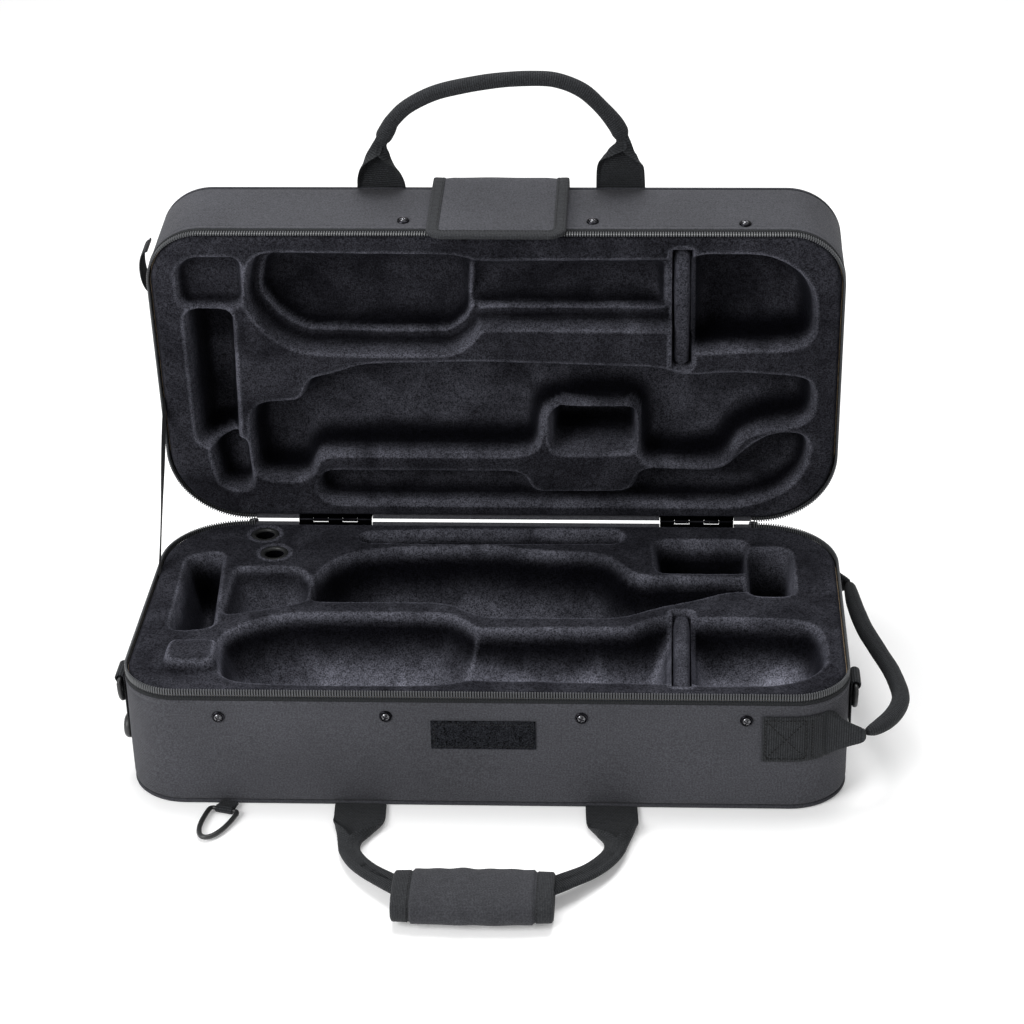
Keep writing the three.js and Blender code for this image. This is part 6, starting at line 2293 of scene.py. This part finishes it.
@dataclass(frozen=True)
class Sliders:
    """The zip's two sliders at its ends behind the case, with their pulls.

    A stop of the bail is a place and a radius. A row of the pull is its height over the bail's wire, half
    its width and half its thickness.
    """

    x: float = 212.0
    block: Pair = (138.0, 99.1)
    wire: Pair = (142.1, 95.6)
    bail: Rows = (
        (-2.7, -2.9, 0.0, 0.62), (-2.6, -1.4, 0.0, 0.72), (-2.3, 0.0, 0.0, 0.8), (-1.0, 0.15, 0.0, 0.8),
        (1.0, 0.15, 0.0, 0.8), (2.3, 0.0, 0.0, 0.8), (2.6, -1.4, 0.0, 0.72), (2.7, -2.9, 0.0, 0.62),
    )
    plate: Rows = (
        (2.1, 0.5, 0.5), (1.9, 1.1, 0.9), (1.2, 1.5, 1.3), (0.0, 1.62, 1.6), (-1.2, 1.5, 1.3),
        (-2.2, 1.1, 0.85), (-4.0, 0.95, 0.62), (-7.0, 1.25, 0.62), (-9.5, 1.6, 0.66), (-11.2, 1.35, 0.6),
        (-11.95, 0.5, 0.35),
    )

    def body(self, x: float, sign: float) -> Surface:
        """The slider: a cushion-shaped block, waisted along its length, with a smooth top edge.

        Args:
            x: its place across the case.
            sign: which way it faces.

        Returns:
            The slider.
        """
        share, angle = np.linspace(-1, 1, 25)[:, None], around(28)
        end = (1 - np.abs(share) ** 6) ** 0.25
        waist = 1 - 0.14 * bell((share - 0.5) / 0.3)
        y = self.block[0] + 1.7 * np.maximum(end, 0.25) * squared(np.cos(angle), 0.6)
        z = self.block[1] + 4.45 * waist * np.maximum(end, 0.55) * squared(np.sin(angle), 0.55)
        return grid(stacked(x + share * 4.0 * sign, y, z), caps=True)

    def bridge(self, x: float) -> Surface:
        """The bail: a bent wire from ear to ear."""
        return STRAP.tube(np.array(self.bail) + [x, *self.wire, 0], Z, rows=40, sides=12, ridge=0.0)

    def pull(self, x: float) -> Surface:
        """The pull: a plate that is an eye round the bail above, narrow below it and rounded at its foot.

        Args:
            x: its place across the case.

        Returns:
            The pull.
        """
        down, wide, thick = spline(np.array(self.plate), 44).T[:, :, None]
        angle = around(16)
        across, out = wide * squared(np.cos(angle), 0.6), thick * squared(np.sin(angle), 0.6)
        return grid(stacked(x + across, self.wire[0] + out, self.wire[1] + down), caps=True)

    def build(self) -> None:
        """Slider and pull at both ends."""
        for name, sign in (("left", -1.0), ("right", 1.0)):
            x = sign * self.x
            runner = [self.body(x, sign), self.bridge(x)]
            make_piece(f"{name}_zip_runner", runner, [NICKEL], f"{name}_slider", f"zip_slider_{name}")
            make_piece(f"{name}_zip_tab", [self.pull(x)], [NICKEL], f"{name}_pull", f"zip_pull_{name}")


# Bare nodes and studio


class BareNodes:
    """CAD nodes that stay as they are, with finishes of their own by the ends of their names."""

    kept = {"shell": BOARD, "leaf": CUP, "pin": CUP}

    def build(self) -> None:
        """Gives each kept node its finish."""
        for node in bpy.data.objects:
            finish = next((f for word, f in self.kept.items() if node.name.endswith(word)), None)
            if finish and node.type == "MESH" and "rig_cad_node" in node:
                node.data.materials.clear()
                node.data.materials.append(finish.material())
                log.info("%s keeps its shape in %s", node.name, finish.name)


@dataclass(frozen=True)
class Studio:
    """The floor, the lights and the camera.

    Args:
        place: the camera's place in millimetres.
        pitch: how far it looks down, in radians.
        yaw: how far it is turned to the left.
        roll: how far it leans.
        lens: its focal length.
        shift: how far the frame is shifted sideways, as a share of its width.
        sensor: its sensor's width.
        clip: the nearest and farthest distance that it sees, in metres.
        lights: each light's name, place in metres, size and power. They are a key from the upper left, a
            fill from the right and one above.
        world_light: the white world's strength.
        floor_half: half the floor's width in millimetres.
    """

    place: tuple[float, float, float] = (137.295, -1803.839, 1158.297)
    pitch: float = 0.493973124
    yaw: float = 0.0456268434
    roll: float = -0.0151242
    lens: float = 91.82
    shift: float = -0.046875
    sensor: float = 36.0
    clip: Pair = (0.05, 50.0)
    lights: tuple[tuple[str, tuple[float, float, float], float, float], ...] = (
        ("key", (-1.3, -1.35, 1.2), 1.2, 36),
        ("fill", (1.9, -1.9, 1.3), 1.8, 5),
        ("top", (0.0, 0.75, 2.3), 1.7, 54),
    )
    world_light: float = 0.42
    floor_half: float = 8000.0

    def add_floor(self) -> None:
        """A wide pale floor just under the case."""
        x = np.linspace(-self.floor_half, self.floor_half, 9)
        flat = np.stack(np.meshgrid(x, x, indexing="ij"), -1)
        surface = grid(stacked(flat[..., 0], flat[..., 1], -0.2), flat * METRE)
        mesh = bpy.data.meshes.new("floor")
        mesh.from_pydata((surface.points * METRE).tolist(), [], surface.quads.tolist())
        if mesh.polygons[0].normal.z < 0:
            mesh.flip_normals()
        mesh.materials.append(FLOOR.material())
        floor = bpy.data.objects.new("floor", mesh)
        bpy.context.scene.collection.objects.link(floor)

    def add_lights(self) -> None:
        """A white world and the broad soft lights, which face the case."""
        world = bpy.data.worlds.new("studio")
        bpy.context.scene.world = world
        world.use_nodes = True
        background = world.node_tree.nodes["Background"].inputs
        background[0].default_value, background[1].default_value = (1, 1, 1, 1), self.world_light
        for name, place, size, power in self.lights:
            data = bpy.data.lights.new(name, "AREA")
            data.shape, data.size, data.energy = "DISK", size, power
            light = bpy.data.objects.new(name, data)
            facing = (-Vector(place)).to_track_quat("-Z", "Y").to_matrix().to_4x4()
            light.matrix_world = Matrix.Translation(place) @ facing
            bpy.context.scene.collection.objects.link(light)

    def add_camera(self) -> None:
        """A long lens from the front, above and a little to the right, as the photograph was taken."""
        turn, down, lean = self.yaw, self.pitch, self.roll
        spin = np.array([[math.cos(turn), -math.sin(turn), 0], [math.sin(turn), math.cos(turn), 0], Z])
        ahead = spin @ [0, math.cos(down), -math.sin(down)]
        up = spin @ [0, math.sin(down), math.cos(down)]
        right = spin @ X
        across = math.cos(lean) * right + math.sin(lean) * up
        upright = math.cos(lean) * up - math.sin(lean) * right
        matrix = np.eye(4)
        matrix[:3] = np.column_stack([across, upright, -ahead, np.array(self.place) * METRE])
        data = bpy.data.cameras.new("camera")
        data.lens, data.sensor_width, data.shift_x = self.lens, self.sensor, self.shift
        data.clip_start, data.clip_end = self.clip
        camera = bpy.data.objects.new("camera", data)
        camera.matrix_world = Matrix(matrix.tolist())
        bpy.context.scene.collection.objects.link(camera)
        bpy.context.scene.camera = camera

    def build(self) -> None:
        """Everything round the case."""
        self.add_camera()
        self.add_floor()
        self.add_lights()
        bpy.context.scene.view_settings.view_transform = "Standard"


BASE_PAD = (
    10.0,
    ((-249.5, 207.5), (-208.0, 207.0), (-208.0, 238.0), (-213.0, 243.5), (-242.0, 243.5), (-249.5, 236.0)),
)
LID_SEAM = ((-222.0, 254.6), (-154.0, 254.6), (-30.0, 254.4), (-18.7, 251.5), (-7.0, 245.8), (20.8, 244.5))


def main() -> None:
    """Builds the studio and every sub-assembly."""
    logging.basicConfig(level=logging.INFO, format="%(message)s")
    holes = tuple(MOUTH_HOLES.values())
    lid_lights = {"flange_light": 0.13, "floor_light": (0.24, 0.11)}
    builders = (
        Studio(),
        Covering(BASE, "bottom_cover"),
        Covering(LID, "top_cover", 7, 1.6),
        Zip(BASE),
        Zip(LID),
        Insert(BASE, BASE_HOLLOWS, (150.98, 146.9, 255.7, 40.8), holes=holes, pads=(BASE_PAD,)),
        Insert(LID, LID_HOLLOWS, (150.0, 151.0, 255.7, 27.9), 23, seams=(LID_SEAM,), **lid_lights),
        MouthRings(),
        Screws(BASE, ((-202.2, 79.97), (-73.92, 82.01), (75.04, 82.01), (200.0, 80.99))),
        Screws(LID, ((-72.8, 61.01), (78.4, 61.99), (199.4, 65.03))),
        LoopPatch(),
        CarryHandles(),
        EndHandle(),
        StrapRings(),
        ClosingFlap(),
        StayRibbon(),
        Sliders(),
        BareNodes(),
    )
    for builder in builders:
        log.info("building %s", type(builder).__name__)
        builder.build()


if __name__ == "__main__":
    main()
